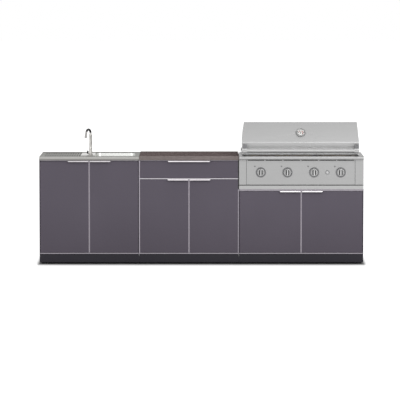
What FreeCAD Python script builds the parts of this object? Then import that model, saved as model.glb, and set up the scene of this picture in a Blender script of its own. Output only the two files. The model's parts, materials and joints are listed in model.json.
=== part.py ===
import FreeCAD, Part
import math
import os
from types import SimpleNamespace

import Sketcher
from FreeCAD import Placement, Rotation, Vector

# Outdoor kitchen island: sink cabinet, drawer cabinet and built-in gas grill in one row.
# Millimetres and degrees. +Z is up, the doors face -Y and X runs to the right, from the sink
# to the grill. The origin is on the floor, under the middle of the whole.

doc = FreeCAD.newDocument("outdoor_kitchen_island")

# Driving sizes: name, number and what it is
SIZES = [
    ("sink_cabinet_width", 813, "left cabinet, 32 inches"),
    ("drawer_cabinet_width", 813, "middle cabinet, 32 inches"),
    ("grill_cabinet_width", 1016, "right cabinet, 40 inches"),
    ("cabinet_depth", 610, "door faces to the rear edge of the tops"),
    ("foot_height", 84, "floor to the underside of the cabinets"),
    ("carcass_top", 850, "floor to the top of the sink and drawer cabinets"),
    ("grill_carcass_top", 612, "floor to the top of the grill cabinet"),
    ("panel_thickness", 18, "side and floor panels, stretchers and shelf"),
    ("side_lip", 4, "front edge of a side panel beside the door"),
    ("back_thickness", 6, "back panels"),
    ("back_inset", 6, "back panel in from the rear edge of the sides"),
    ("stretcher_depth", 60, "stretchers, front to back"),
    ("shelf_height", 388, "floor to the underside of the shelf"),
    ("shelf_setback", 40, "shelf edge behind the front of the carcass"),
    ("vent_slot_length", 120, "slots in the back panels"),
    ("vent_slot_height", 10, "slots in the back panels"),
    ("vent_slot_pitch", 24, "slots in the back panels, up the panel"),
    ("vent_slot_count", 5, "slots in each row"),
    ("vent_slot_low", 30, "lowest slot above the floor panel"),
    ("foot_pad_radius", 25, "levelling foot on the floor"),
    ("foot_pad_height", 9, "levelling foot on the floor"),
    ("foot_stem_radius", 14, "levelling foot, its sleeve"),
    ("foot_inset", 36, "foot centre in from the cabinet's sides and ends"),
    ("kick_gap", 13, "floor to the toe kick"),
    ("kick_setback", 8, "toe kick behind the door faces"),
    ("kick_thickness", 3, "toe kick sheet"),
    ("cabinet_joint", 0.5, "toe kicks and tops, back from the line between two cabinets"),
    ("bolt_radius", 4, "bolts between two cabinets"),
    ("bolt_head_radius", 7, "bolts between two cabinets"),
    ("bolt_head_length", 5, "bolts between two cabinets"),
    ("bolt_clearance", 0.3, "bolt in its hole"),
    ("bolt_low", 130, "lower bolts above the cabinet floor"),
    ("bolt_spacing", 330, "upper bolts above the lower ones"),
    ("bolt_end", 110, "bolts in from the front and rear of the carcass"),
    ("base_rail_height", 7, "bright rail under the doors"),
    ("top_rail_height", 4, "rail under the worktops"),
    ("middle_rail_height", 6, "rail under the drawer"),
    ("grill_rail_height", 12, "rail over the grill cabinet's doors"),
    ("rail_setback", 1, "rails behind the door faces"),
    ("grill_rail_setback", 3, "rail over the grill cabinet's doors"),
    ("rail_pull_gap", 3, "door top to the rail above, with the pull in it"),
    ("door_floor_gap", 2, "door or drawer front to the rail below"),
    ("door_thickness", 18, "doors and drawer front"),
    ("door_back_gap", 7, "door to the front of the carcass"),
    ("door_side_gap", 3, "door to the lip of the side panel"),
    ("door_middle_gap", 2.5, "between the two doors of a pair"),
    ("door_edge", 3, "bright edge of the door frame around its panel"),
    ("door_bar", 25, "bars of the door frame behind the panel"),
    ("door_infill", 4, "slate coloured panel in the door frame"),
    ("pivot_edge", 12, "pivot in from the hinge edge of the door"),
    ("pivot_face", 7.5, "pivot behind the face of the door"),
    ("pivot_radius", 2.5, "pivot pins"),
    ("pivot_depth", 12, "pivot pin into the door"),
    ("pivot_clearance", 0.05, "pivot pin in its bore, on the radius"),
    ("pivot_end_gap", 2, "pivot pin to the end of its bore"),
    ("pull_length", 169.5, "edge pull on each door"),
    ("drawer_pull_length", 342, "edge pull on the drawer"),
    ("pull_sheet", 2, "edge pulls"),
    ("pull_reach", 20, "edge pull in front of the door"),
    ("pull_seat", 12, "edge pull onto the top of the door"),
    ("pull_drop", 6.5, "lip of the edge pull below the door top"),
    ("pull_slant", 5, "slanted end of the lip"),
    ("pull_middle_gap", 4, "edge pull to the free edge of its door"),
    ("drawer_front_height", 139, "drawer front"),
    ("drawer_box_depth", 500, "drawer box, front to back"),
    ("drawer_sheet", 2, "drawer box"),
    ("drawer_box_drop", 24, "drawer box below the top of its front"),
    ("drawer_box_rise", 12, "drawer box above the bottom of its front"),
    ("slide_width", 13, "whole drawer slide, side to side"),
    ("slide_height", 45, "outer member of the slide"),
    ("slide_length", 480, "drawer slide"),
    ("slide_wall", 1.5, "drawer slide"),
    ("slide_gap", 0.5, "between two members of the slide"),
    ("slide_setback", 4, "slide behind the front of the carcass"),
    ("slide_rise", 22, "slide above the bottom of the drawer box"),
    ("slab_thickness", 32, "stone worktop"),
    ("top_overhang", 12, "worktops in front of the door faces"),
    ("slab_round", 4, "front edges of the stone worktop"),
    ("sink_top_height", 28, "folded steel top of the sink cabinet"),
    ("sink_sheet", 2.5, "folded steel top and the bowl"),
    ("sink_top_round", 5, "front edge of the folded steel top"),
    ("bowl_width", 334, "sink bowl, side to side"),
    ("bowl_rear_room", 118, "bowl to the rear edge of the top"),
    ("bowl_depth", 180, "sink bowl"),
    ("bowl_corner", 45, "upright corners of the bowl"),
    ("bowl_bottom_round", 22, "bowl floor into its walls"),
    ("bowl_right", 32, "bowl to the right end of the top"),
    ("bowl_setback", 92, "bowl behind the door faces"),
    ("bowl_flange", 14, "rim of the bowl under the top"),
    ("drainboard_left", 40, "first groove to the left end of the top"),
    ("drainboard_groove", 9, "grooves of the drainboard, side to side"),
    ("drainboard_pitch", 20, "grooves of the drainboard"),
    ("drainboard_right", 53, "last groove to the foot of the faucet"),
    ("drainboard_groove_depth", 1.2, "grooves of the drainboard"),
    ("drainboard_front", 70, "grooves behind the door faces"),
    ("drainboard_rear_room", 120, "grooves to the rear edge of the top"),
    ("drain_radius", 44, "drain hole and cup"),
    ("drain_cup_depth", 62, "drain cup below the bowl"),
    ("drain_flange", 6, "drain flange past the hole"),
    ("drain_sheet", 2, "drain cup and flange"),
    ("pipe_radius", 20, "tailpiece and outlet pipe"),
    ("pipe_wall", 2, "tailpiece and outlet pipe"),
    ("tailpiece_length", 60, "drain cup to the trap"),
    ("trap_radius", 34, "bottle trap"),
    ("trap_height", 130, "bottle trap"),
    ("outlet_drop", 34, "outlet pipe below the top of the trap"),
    ("outlet_boss_radius", 25, "boss of the trap that the outlet pipe starts from"),
    ("outlet_boss_length", 42, "middle of the trap to the start of the outlet pipe"),
    ("basket_radius", 37, "strainer basket"),
    ("basket_depth", 32, "strainer basket"),
    ("basket_sheet", 1.2, "strainer basket"),
    ("basket_rim", 10, "strainer basket past its cup"),
    ("basket_knob", 8, "knob of the strainer basket"),
    ("basket_foot_gap", 0.3, "basket rim over the drain flange"),
    ("faucet_bowl_gap", 35.5, "middle of the faucet to the bowl"),
    ("faucet_setback", 220, "faucet behind the door faces"),
    ("faucet_base_radius", 20, "foot of the faucet"),
    ("faucet_base_height", 3, "foot of the faucet"),
    ("faucet_body_radius", 13, "body of the faucet"),
    ("faucet_body_height", 48, "body of the faucet above the top"),
    ("faucet_shank_radius", 14, "faucet through the top"),
    ("faucet_shank_length", 40, "faucet below the top"),
    ("faucet_nut_radius", 20, "nut under the top"),
    ("faucet_nut_height", 9, "nut under the top"),
    ("spigot_radius", 7, "spigot that the spout turns on"),
    ("spigot_height", 24, "spigot above the body"),
    ("spout_riser_radius", 12.3, "upright tube of the spout"),
    ("spout_radius", 8.2, "curved tube of the spout"),
    ("spout_wall", 1.5, "curved tube of the spout"),
    ("spout_bend", 32, "curve of the spout"),
    ("spout_rise", 131, "body of the faucet to the start of the curve"),
    ("spout_sweep", 165, "curve of the spout, degrees"),
    ("spout_drop", 26, "curve of the spout to its tip"),
    ("spout_tip_radius", 9.5, "tip of the spout"),
    ("spout_tip_length", 18, "tip of the spout"),
    ("spout_yaw", 31, "spout turned to the left of straight forward, degrees"),
    ("turning_gap", 0.3, "between two pieces that turn on each other"),
    ("lever_height", 21, "lever hub above the top"),
    ("lever_hub_radius", 11, "cap on the side of the faucet"),
    ("lever_hub_length", 12, "cap on the side of the faucet"),
    ("lever_boss", 4, "boss of the body behind the cap"),
    ("lever_blade", 6, "lever, across"),
    ("lever_blade_width", 6, "lever, front to back"),
    ("lever_rise", 17, "lever above its pin"),
    ("lever_foot", 4, "lever below its pin"),
    ("lever_pin_radius", 2, "pin of the lever"),
    ("casing_sheet", 2, "steel sheet of the grill"),
    ("cheek_width", 64, "side cheeks beside the control panel"),
    ("cheek_setback", 1, "cheeks behind the door faces"),
    ("head_gap", 2, "dark gap between the drawer cabinet and the grill head"),
    ("head_shift", 4, "lid, knobs and firebox to the left of the middle of their cabinet"),
    ("panel_setback", 6, "control panel behind the door faces"),
    ("panel_height", 206, "control panel"),
    ("panel_tray_gap", 5, "front of the drip tray to the control panel"),
    ("panel_fold", 20, "folded edges of the control panel"),
    ("deck_height", 29, "deck above the control panel"),
    ("deck_overhang", 25, "deck edge in front of the door faces"),
    ("deck_rear_room", 135, "deck to the rear edge of the cabinet"),
    ("deck_bullnose", 12, "rounding of the deck's front edge"),
    ("panel_slot_length", 135, "slots over the control panel"),
    ("panel_slot_height", 7, "slots over the control panel"),
    ("panel_slot_pitch", 146, "slots over the control panel"),
    ("panel_slot_margin", 10, "slots to the ends of the control panel, at least"),
    ("panel_slot_drop", 2, "slots below the top of the panel"),
    ("knob_margin", 118.5, "outer knobs to the ends of the control panel"),
    ("knob_drop", 2, "knobs below the middle of the control panel"),
    ("knob_radius", 30, "skirt of the knob"),
    ("knob_grip_radius", 25, "body of the knob"),
    ("knob_standout", 36, "knob in front of the control panel"),
    ("knob_skirt", 8, "skirt of the knob"),
    ("knob_gap", 5, "knob to the control panel"),
    ("knob_travel", 4, "knob pushed in"),
    ("knob_socket_depth", 20, "shaft into the knob"),
    ("grip_width", 10, "bar across the knob"),
    ("grip_rise", 12, "bar in front of the knob's body"),
    ("bezel_radius", 41, "ring around the knob"),
    ("bezel_opening", 33, "ring around the knob"),
    ("bezel_height", 5, "ring around the knob"),
    ("shaft_side", 5, "square shaft of the knob"),
    ("shaft_hole_radius", 8, "hole in the control panel"),
    ("shaft_clearance", 0.15, "square shaft in the valve plug"),
    ("shaft_engagement", 6, "shaft in the valve plug"),
    ("valve_width", 26, "gas valve body"),
    ("valve_length", 30, "gas valve body, front to back"),
    ("valve_setback", 20, "gas valve behind the control panel"),
    ("plug_radius", 7, "turning plug of the valve"),
    ("plug_length", 24, "turning plug of the valve"),
    ("plug_clearance", 0.05, "valve plug in its bore, on the radius"),
    ("gas_rail_side", 20, "square gas rail"),
    ("igniter_radius", 11, "push button"),
    ("igniter_collar_radius", 17, "collar of the button"),
    ("igniter_collar_height", 4, "collar of the button"),
    ("igniter_barrel_radius", 14, "threaded barrel of the button"),
    ("igniter_end_wall", 2, "end of the barrel behind the button"),
    ("igniter_proud", 5, "button in front of its collar"),
    ("igniter_length", 24, "button in its barrel"),
    ("igniter_travel", 3.5, "button pushed in"),
    ("tray_front_gap", 1, "grill cabinet to the front of the drip tray"),
    ("tray_front_height", 31, "front of the drip tray"),
    ("tray_front_thickness", 18, "front of the drip tray"),
    ("tray_side_room", 108, "tray to each side of the grill cabinet"),
    ("tray_rear_room", 142, "drip tray to the rear edge of the cabinet"),
    ("tray_height", 26, "drip tray"),
    ("tray_wall", 1.5, "drip tray"),
    ("runner_height", 8, "runners under the drip tray"),
    ("runner_width", 22, "runners under the drip tray"),
    ("runner_inset", 24, "runner in from the side of the tray"),
    ("firebox_side_room", 68, "firebox to each side of the grill cabinet"),
    ("firebox_setback", 66, "firebox behind the door faces"),
    ("firebox_rear_room", 35, "firebox to the rear edge of the deck"),
    ("firebox_drop", 50, "firebox floor below the middle of the burners"),
    ("firebox_rim", 8, "rim of the firebox over the deck"),
    ("firebox_gap", 2, "firebox in the opening of the deck"),
    ("drip_hole_side_room", 130, "opening in the firebox floor to its sides"),
    ("drip_hole_end_room", 87, "opening in the firebox floor to its front and rear"),
    ("ledge_width", 10, "ledges in the firebox"),
    ("ledge_height", 6, "ledges in the firebox"),
    ("grate_drop", 8, "top of the cooking grates below the deck"),
    ("grate_thickness", 10, "cooking grates"),
    ("grate_count", 3, "cooking grates"),
    ("grate_gap", 4, "between two grates"),
    ("grate_end_gap", 3, "grates to the walls of the firebox"),
    ("grate_frame", 14, "edge of a grate"),
    ("grate_slot", 12, "gaps of a grate"),
    ("grate_pitch", 20, "bars of a grate"),
    ("burner_radius", 16, "burner tubes"),
    ("burner_wall", 1.5, "burner tubes"),
    ("burner_back_gap", 40, "burner to the rear wall of the firebox"),
    ("tamer_gap", 34, "burners to the lower edges of the flame tamers"),
    ("tamer_width", 120, "flame tamers"),
    ("tamer_rise", 38, "flame tamers"),
    ("tamer_sheet", 2, "flame tamers"),
    ("rack_rise", 124, "top of the warming rack above the deck"),
    ("rack_side_gap", 30, "warming rack to the sides of the firebox"),
    ("rack_depth", 120, "warming rack"),
    ("rack_rear_gap", 40, "warming rack to the rear wall of the firebox"),
    ("rack_plate", 5, "bars of the warming rack"),
    ("rack_leg", 6, "legs of the warming rack"),
    ("lid_side_room", 32, "lid to each side of the grill cabinet"),
    ("lid_gap", 8, "deck to the lower edge of the lid"),
    ("lid_sheet", 2, "lid"),
    ("lid_front_setback", 50, "lower front edge of the lid behind the door faces"),
    ("lid_bend_rise", 100, "bend of the lid's front above its lower edge"),
    ("lid_bend_setback", 32, "bend of the lid's front behind the door faces"),
    ("lid_slope_rise", 163, "top edge of the lid above the bend"),
    ("lid_top_setback", 137, "top edge of the lid behind the door faces"),
    ("lid_roof_fall", 85, "rear edge of the lid's roof below its top edge"),
    ("lid_rear_room", 29, "rear wall of the lid to the rear edge of the deck"),
    ("lid_taper", 15, "sides of the lid drawn in at the top"),
    ("lid_bend_round", 20, "bend of the lid's front"),
    ("lid_top_round", 14, "top edge of the lid"),
    ("lid_rear_round", 26, "rear edge of the lid's roof"),
    ("lid_pivot_height", 26, "lid pivot above the deck"),
    ("lid_pivot_inset", 13, "lid pivot in from the rear wall of the lid"),
    ("lid_pivot_radius", 5, "pins of the lid"),
    ("lid_bracket", 6, "hinge bracket of the lid"),
    ("lid_bracket_length", 44, "hinge bracket of the lid"),
    ("lid_bracket_rise", 15, "hinge bracket above the pivot"),
    ("lid_side_gap", 2, "lid to its hinge bracket"),
    ("lid_pin_inside", 8, "pin inside the lid"),
    ("handle_radius", 13, "tube of the lid handle"),
    ("handle_rise", 38, "middle of the handle above the lower edge of the lid"),
    ("handle_standout", 14, "middle of the handle in front of the door faces"),
    ("handle_bracket", 38, "brackets at the ends of the handle"),
    ("handle_bracket_top", 42, "brackets above the middle of the handle"),
    ("handle_bracket_bottom", 15, "brackets below the middle of the handle"),
    ("handle_bracket_inset", 2, "brackets in from the ends of the lid"),
    ("gauge_radius", 39, "round thermometer"),
    ("gauge_rise", 77, "middle of the thermometer above the bend of the lid"),
    ("gauge_thickness", 12, "round thermometer"),
    ("gauge_stem_radius", 3, "stem of the thermometer"),
    ("gauge_stem_length", 60, "stem of the thermometer"),
]

sheet = doc.addObject("Spreadsheet::Sheet", "Sizes")
for row, (alias, number, meaning) in enumerate(SIZES, 1):
    sheet.set(f"A{row}", alias)
    sheet.set(f"B{row}", str(number))
    sheet.setAlias(f"B{row}", alias)
    sheet.set(f"C{row}", meaning)
doc.recompute()


class Size:
    """A number, together with the formula that ties it to the cells of the sheet."""

    def __init__(self, value, formula):
        self.value = value
        self.formula = formula

    def __add__(self, other):
        other = size(other)
        return Size(self.value + other.value, f"({self.formula} + {other.formula})")

    def __sub__(self, other):
        other = size(other)
        return Size(self.value - other.value, f"({self.formula} - {other.formula})")

    def __mul__(self, other):
        other = size(other)
        return Size(self.value * other.value, f"({self.formula} * {other.formula})")

    def __truediv__(self, other):
        other = size(other)
        return Size(self.value / other.value, f"({self.formula} / {other.formula})")

    def __neg__(self):
        return Size(-self.value, f"(-{self.formula})")


def size(amount):
    """A Size as it is, or a plain number made into one."""
    if isinstance(amount, Size):
        return amount
    return Size(float(amount), f"({float(amount)})")


def slope_angle(rise, run):
    """The angle, in degrees, of a slope."""
    degrees = math.degrees(math.atan2(rise.value, run.value))
    return Size(degrees, f"atan2({rise.formula}; {run.formula})")


def sine(degrees):
    """The sine of an angle in degrees."""
    return Size(math.sin(math.radians(degrees.value)), f"sin({degrees.formula})")


def cosine(degrees):
    """The cosine of an angle in degrees."""
    return Size(math.cos(math.radians(degrees.value)), f"cos({degrees.formula})")


def between(low, high, share=0.5):
    """The place at a share of the way from low to high."""
    return low + (high - low) * share


s = SimpleNamespace(**{alias: Size(float(number), f"Sizes.{alias}") for alias, number, _ in SIZES})
ZERO = size(0)

# Upright, to the rear and to the right: how a cylinder that stands on +Z is laid over
ALONG = {
    "z": Rotation(),
    "y": Rotation(Vector(1, 0, 0), -90),
    "x": Rotation(Vector(0, 1, 0), 90),
}


def place(thing, x=ZERO, y=ZERO, z=ZERO):
    """Tie the place of an object to the sheet."""
    for axis, amount in zip("xyz", (x, y, z)):
        thing.setExpression(f"Placement.Base.{axis}", size(amount).formula)
    return thing


def box(name, x, y, z):
    """A block, from its (low, high) pair along each axis."""
    block = doc.addObject("Part::Box", name)
    for side, (low, high) in zip(("Length", "Width", "Height"), (x, y, z)):
        block.setExpression(side, (high - low).formula)
    return place(block, x[0], y[0], z[0])


def cylinder(name, start, radius, length, along="z"):
    """A round bar from its start point, along one axis."""
    bar = doc.addObject("Part::Cylinder", name)
    bar.Placement = Placement(Vector(), ALONG[along])
    bar.setExpression("Radius", size(radius).formula)
    bar.setExpression("Height", size(length).formula)
    return place(bar, *start)


def group(name, things):
    """Separate solids kept together under one name."""
    pieces = doc.addObject("Part::Compound", name)
    pieces.Links = list(things)
    return pieces


def cut(name, base, tools):
    """A solid with others taken out of it."""
    result = doc.addObject("Part::Cut", name)
    result.Base = base
    result.Tool = tools[0] if len(tools) == 1 else group(f"{name}_tools", tools)
    return result


def fuse(name, things):
    """Solids made into one."""
    result = doc.addObject("Part::MultiFuse", name)
    result.Shapes = list(things)
    return result


def tube(name, start, radius, wall, length, along="z"):
    """A round pipe from its start point, along one axis."""
    outside = cylinder(f"{name}_outside", start, radius, length, along)
    bore = cylinder(f"{name}_bore", start, radius - wall, length, along)
    return cut(name, outside, [bore])


def new_sketch(body, name, plane, offset):
    """An empty sketch on one of the body's own planes, moved along the plane's normal."""
    sketch = body.newObject("Sketcher::SketchObject", name)
    home = next(p for p in body.Origin.OriginFeatures if p.Role == f"{plane}_Plane")
    sketch.AttachmentSupport = (home, [""])
    sketch.MapMode = "FlatFace"
    along = -size(offset) if plane == "XZ" else size(offset)
    sketch.setExpression("AttachmentOffset.Base.z", along.formula)
    return sketch


def tie_point(sketch, element, point, place_on_plane):
    """Tie a point of a sketch to the sheet by its two distances from the origin."""
    for kind, amount in zip(("DistanceX", "DistanceY"), place_on_plane):
        tie = sketch.addConstraint(Sketcher.Constraint(kind, -1, 1, element, point, amount.value))
        sketch.setExpression(f"Constraints[{tie}]", amount.formula)


def add_outline(sketch, corners):
    """A closed outline of straight lines through the corners."""
    corners = [(size(u), size(v)) for u, v in corners]
    points = [Vector(u.value, v.value, 0) for u, v in corners]
    first = sketch.GeometryCount
    count = len(points)
    for index, point in enumerate(points):
        sketch.addGeometry(Part.LineSegment(point, points[(index + 1) % count]), False)
    for index in range(count):
        following = first + (index + 1) % count
        sketch.addConstraint(Sketcher.Constraint("Coincident", first + index, 2, following, 1))
    for index, corner in enumerate(corners):
        tie_point(sketch, first + index, 1, corner)


def add_circle(sketch, centre, radius):
    """A circle about a point."""
    u, v = (size(amount) for amount in centre)
    circle = Part.Circle(Vector(u.value, v.value, 0), Vector(0, 0, 1), radius.value)
    element = sketch.addGeometry(circle, False)
    tie_point(sketch, element, 3, (u, v))
    tie = sketch.addConstraint(Sketcher.Constraint("Radius", element, radius.value))
    sketch.setExpression(f"Constraints[{tie}]", radius.formula)


def add_rounded_rectangle(sketch, across, up, radius):
    """A rectangle with round corners, from its (low, high) pair each way."""
    (u0, u1), (v0, v1) = across, up
    sides = [
        ((u0 + radius, v0), (u1 - radius, v0)),
        ((u1, v0 + radius), (u1, v1 - radius)),
        ((u1 - radius, v1), (u0 + radius, v1)),
        ((u0, v1 - radius), (u0, v0 + radius)),
    ]
    centres = [
        (u1 - radius, v0 + radius),
        (u1 - radius, v1 - radius),
        (u0 + radius, v1 - radius),
        (u0 + radius, v0 + radius),
    ]
    first = sketch.GeometryCount
    for start, end in sides:
        points = [Vector(u.value, v.value, 0) for u, v in (start, end)]
        sketch.addGeometry(Part.LineSegment(*points), False)
    for index, (u, v) in enumerate(centres):
        circle = Part.Circle(Vector(u.value, v.value, 0), Vector(0, 0, 1), radius.value)
        turn = (index - 1) * math.pi / 2
        sketch.addGeometry(Part.ArcOfCircle(circle, turn, turn + math.pi / 2), False)
    for index, (start, end) in enumerate(sides):
        side, corner, following = first + index, first + 4 + index, first + (index + 1) % 4
        tie_point(sketch, side, 1, start)
        tie_point(sketch, side, 2, end)
        sketch.addConstraint(Sketcher.Constraint("Coincident", side, 2, corner, 1))
        sketch.addConstraint(Sketcher.Constraint("Coincident", corner, 2, following, 1))
        tie = sketch.addConstraint(Sketcher.Constraint("Radius", corner, radius.value))
        sketch.setExpression(f"Constraints[{tie}]", radius.formula)


def new_body(name):
    """An empty body."""
    return doc.addObject("PartDesign::Body", name)


def pad(body, sketch, length):
    """Thicken a sketch towards +X, +Y or +Z."""
    feature = body.newObject("PartDesign::Pad", f"{sketch.Name}_pad")
    feature.Profile = sketch
    feature.Reversed = sketch.AttachmentSupport[0][0].Role == "XZ_Plane"
    feature.setExpression("Length", size(length).formula)
    return feature


def pocket(body, sketch, depth=None, forwards=True):
    """Cut a sketch into the body towards +X, +Y or +Z, or the other way, or right through."""
    doc.recompute()
    before = body.Shape.Volume
    feature = body.newObject("PartDesign::Pocket", f"{sketch.Name}_pocket")
    feature.Profile = sketch
    if depth is None:
        feature.Type = "ThroughAll"
        feature.Midplane = True
    else:
        normal_is_back = sketch.AttachmentSupport[0][0].Role == "XZ_Plane"
        feature.Reversed = forwards != normal_is_back
        feature.setExpression("Length", size(depth).formula)
    doc.recompute()
    if body.Shape.Volume >= before:
        raise ValueError(f"{feature.Name} cuts nothing")
    return feature


def repeat(body, feature, direction, pitch, count):
    """Repeat a feature in a straight row."""
    pattern = body.newObject("PartDesign::LinearPattern", f"{feature.Name}_row")
    pattern.Originals = [feature]
    pattern.Direction = direction
    pattern.setExpression("Length", (pitch * (count - 1)).formula)
    pattern.setExpression("Occurrences", count.formula)
    body.Tip = pattern
    return pattern


def round_edges(body, radius, wanted):
    """Round the edges of the body for which wanted(edge) is true."""
    doc.recompute()
    last = body.Tip
    names = [f"Edge{i}" for i, edge in enumerate(last.Shape.Edges, 1) if wanted(edge)]
    feature = body.newObject("PartDesign::Fillet", f"{body.Name}_rounding")
    feature.Base = (last, names)
    feature.setExpression("Radius", size(radius).formula)
    return feature


def hollow(body, wall, open_face):
    """Leave only a wall of the body, open at the face for which open_face(face) is true."""
    doc.recompute()
    last = body.Tip
    names = [f"Face{i}" for i, face in enumerate(last.Shape.Faces, 1) if open_face(face)]
    feature = body.newObject("PartDesign::Thickness", f"{body.Name}_wall")
    feature.Base = (last, names)
    feature.Reversed = True
    feature.Join = 1
    feature.setExpression("Value", size(wall).formula)
    return feature


def prism(name, plane, start, length, corners):
    """A straight-sided outline, thickened towards +X, +Y or +Z."""
    body = new_body(name)
    sketch = new_sketch(body, f"{name}_outline", plane, start)
    add_outline(sketch, corners)
    pad(body, sketch, length)
    return body


def turned(name, corners):
    """An outline of (radius, height) corners, spun about the upright axis."""
    body = new_body(name)
    sketch = new_sketch(body, f"{name}_outline", "XZ", ZERO)
    add_outline(sketch, corners)
    feature = body.newObject("PartDesign::Revolution", f"{name}_turn")
    feature.Profile = sketch
    feature.ReferenceAxis = (sketch, ["V_Axis"])
    feature.Angle = 360
    return body


def copies_along(room, width, pitch):
    """How many copies of a width fit in a room at a pitch."""
    return size(int((room.value - width.value) // pitch.value) + 1)


def runs_along(edge, axis):
    """Whether an edge is straight and runs along X, Y or Z."""
    if not isinstance(edge.Curve, Part.Line):
        return False
    return abs(abs(getattr(edge.Curve.Direction, axis)) - 1) < 1e-6


def near(a, b):
    """Whether two places are the same, but for rounding."""
    return abs(a - b) < 1e-3


nodes = []


def node(name, thing):
    """Keep an object as one of the finished pieces."""
    thing.Label = name
    nodes.append(thing)
    return thing


# Where things are, from left to right
total_width = s.sink_cabinet_width + s.drawer_cabinet_width + s.grill_cabinet_width
sink_left = -total_width / 2
drawer_left = sink_left + s.sink_cabinet_width
grill_left = drawer_left + s.drawer_cabinet_width
grill_right = grill_left + s.grill_cabinet_width

# From front to back: the knobs reach furthest forward and the cabinets furthest back
front_reach = s.knob_standout - s.panel_setback
front = -(s.cabinet_depth - front_reach) / 2
back = front + s.cabinet_depth
carcass_front = front + s.door_thickness + s.door_back_gap
back_panel_rear = back - s.back_inset
back_panel_front = back_panel_rear - s.back_thickness

# Upwards
base = s.foot_height
floor_top = base + s.panel_thickness
door_bottom = base + s.base_rail_height + s.door_floor_gap
door_top = s.carcass_top - s.top_rail_height - s.rail_pull_gap
drawer_front_bottom = door_top - s.drawer_front_height
middle_rail_top = drawer_front_bottom - s.door_floor_gap
middle_rail_bottom = middle_rail_top - s.middle_rail_height
low_door_top = middle_rail_bottom - s.rail_pull_gap
grill_rail_bottom = s.grill_carcass_top - s.grill_rail_height
grill_door_top = grill_rail_bottom - s.rail_pull_gap
sink_top_face = s.carcass_top + s.sink_top_height

CABINETS = [
    ("sink", sink_left, drawer_left, s.carcass_top),
    ("drawer", drawer_left, grill_left, s.carcass_top),
    ("grill", grill_left, grill_right, s.grill_carcass_top),
]


def bolt_places():
    """Where the bolts between two cabinets lie, front to back and upwards."""
    deep = (carcass_front + s.bolt_end, back_panel_front - s.bolt_end)
    high = (floor_top + s.bolt_low, floor_top + s.bolt_low + s.bolt_spacing)
    return [(y, z) for y in deep for z in high]


def side_panel(name, outer, inward, top, bolted):
    """A side panel, whose thin front lip stands beside the door."""
    body = new_body(name)
    sketch = new_sketch(body, f"{name}_outline", "XY", base)
    add_outline(
        sketch,
        [
            (outer, front),
            (outer + s.side_lip * inward, front),
            (outer + s.side_lip * inward, carcass_front),
            (outer + s.panel_thickness * inward, carcass_front),
            (outer + s.panel_thickness * inward, back),
            (outer, back),
        ],
    )
    pad(body, sketch, top - base)
    if bolted:
        holes = new_sketch(body, f"{name}_holes", "YZ", outer)
        for place_on_plane in bolt_places():
            add_circle(holes, place_on_plane, s.bolt_radius + s.bolt_clearance)
        pocket(body, holes)
    return body


def build_sides():
    """The six side panels."""
    panels = []
    for name, left, right, top in CABINETS:
        panels.append(side_panel(f"{name}_left_side", left, 1, top, name != "sink"))
        panels.append(side_panel(f"{name}_right_side", right, -1, top, name != "grill"))
    node("cabinet_side_panels", group("side_panels", panels))


def back_panel(name, left, right, top, outlet=None):
    """A back panel with a low row of vent slots, and a hole where the drain goes through."""
    body = new_body(name)
    sketch = new_sketch(body, f"{name}_outline", "XZ", back_panel_front)
    low, high = left + s.panel_thickness, right - s.panel_thickness
    add_outline(sketch, [(low, base), (high, base), (high, top), (low, top)])
    pad(body, sketch, s.back_thickness)
    if outlet:
        hole = new_sketch(body, f"{name}_outlet", "XZ", back_panel_front)
        add_circle(hole, outlet, s.pipe_radius + s.turning_gap)
        pocket(body, hole)
    slot = new_sketch(body, f"{name}_slot", "XZ", back_panel_front)
    bottom = floor_top + s.vent_slot_low
    for share in (0.25, 0.75):
        middle = between(low, high, share)
        start = middle - s.vent_slot_length / 2
        end = middle + s.vent_slot_length / 2
        top_of_slot = bottom + s.vent_slot_height
        add_outline(slot, [(start, bottom), (end, bottom), (end, top_of_slot), (start, top_of_slot)])
    feature = pocket(body, slot)
    repeat(body, feature, (slot, ["V_Axis"]), s.vent_slot_pitch, s.vent_slot_count)
    return body


def build_backs(outlet):
    """The three back panels."""
    panels = []
    for name, left, right, top in CABINETS:
        panels.append(
            back_panel(f"{name}_back", left, right, top, outlet if name == "sink" else None)
        )
    node("cabinet_back_panels", group("back_panels", panels))


def build_floors():
    """The cabinet floors, and the shelf of the drawer cabinet."""
    panels = []
    for name, left, right, _ in CABINETS:
        inside = (left + s.panel_thickness, right - s.panel_thickness)
        deep = (carcass_front, back_panel_front)
        panels.append(box(f"{name}_floor", inside, deep, (base, floor_top)))
    inside = (drawer_left + s.panel_thickness, grill_left - s.panel_thickness)
    deep = (carcass_front + s.shelf_setback, back_panel_front)
    high = (s.shelf_height, s.shelf_height + s.panel_thickness)
    panels.append(box("drawer_cabinet_shelf", inside, deep, high))
    node("cabinet_floors_and_shelf", group("floors_and_shelf", panels))


# The pivots of the doors, at the outer edge of each door
def door_span(left, right, side):
    """The left and right edges of one door of a pair."""
    middle = between(left, right)
    if side == "left":
        return left + s.side_lip + s.door_side_gap, middle - s.door_middle_gap / 2
    return middle + s.door_middle_gap / 2, right - s.side_lip - s.door_side_gap


def pivot_x(left, right, side):
    """Where the pivot of a door is, from left to right."""
    low, high = door_span(left, right, side)
    return low + s.pivot_edge if side == "left" else high - s.pivot_edge


DOOR_PAIRS = [
    ("sink", "sink_door", sink_left, drawer_left, door_top),
    ("drawer_cabinet", "drawer_cabinet_door", drawer_left, grill_left, low_door_top),
    ("grill", "grill_door", grill_left, grill_right, grill_door_top),
]


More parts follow.
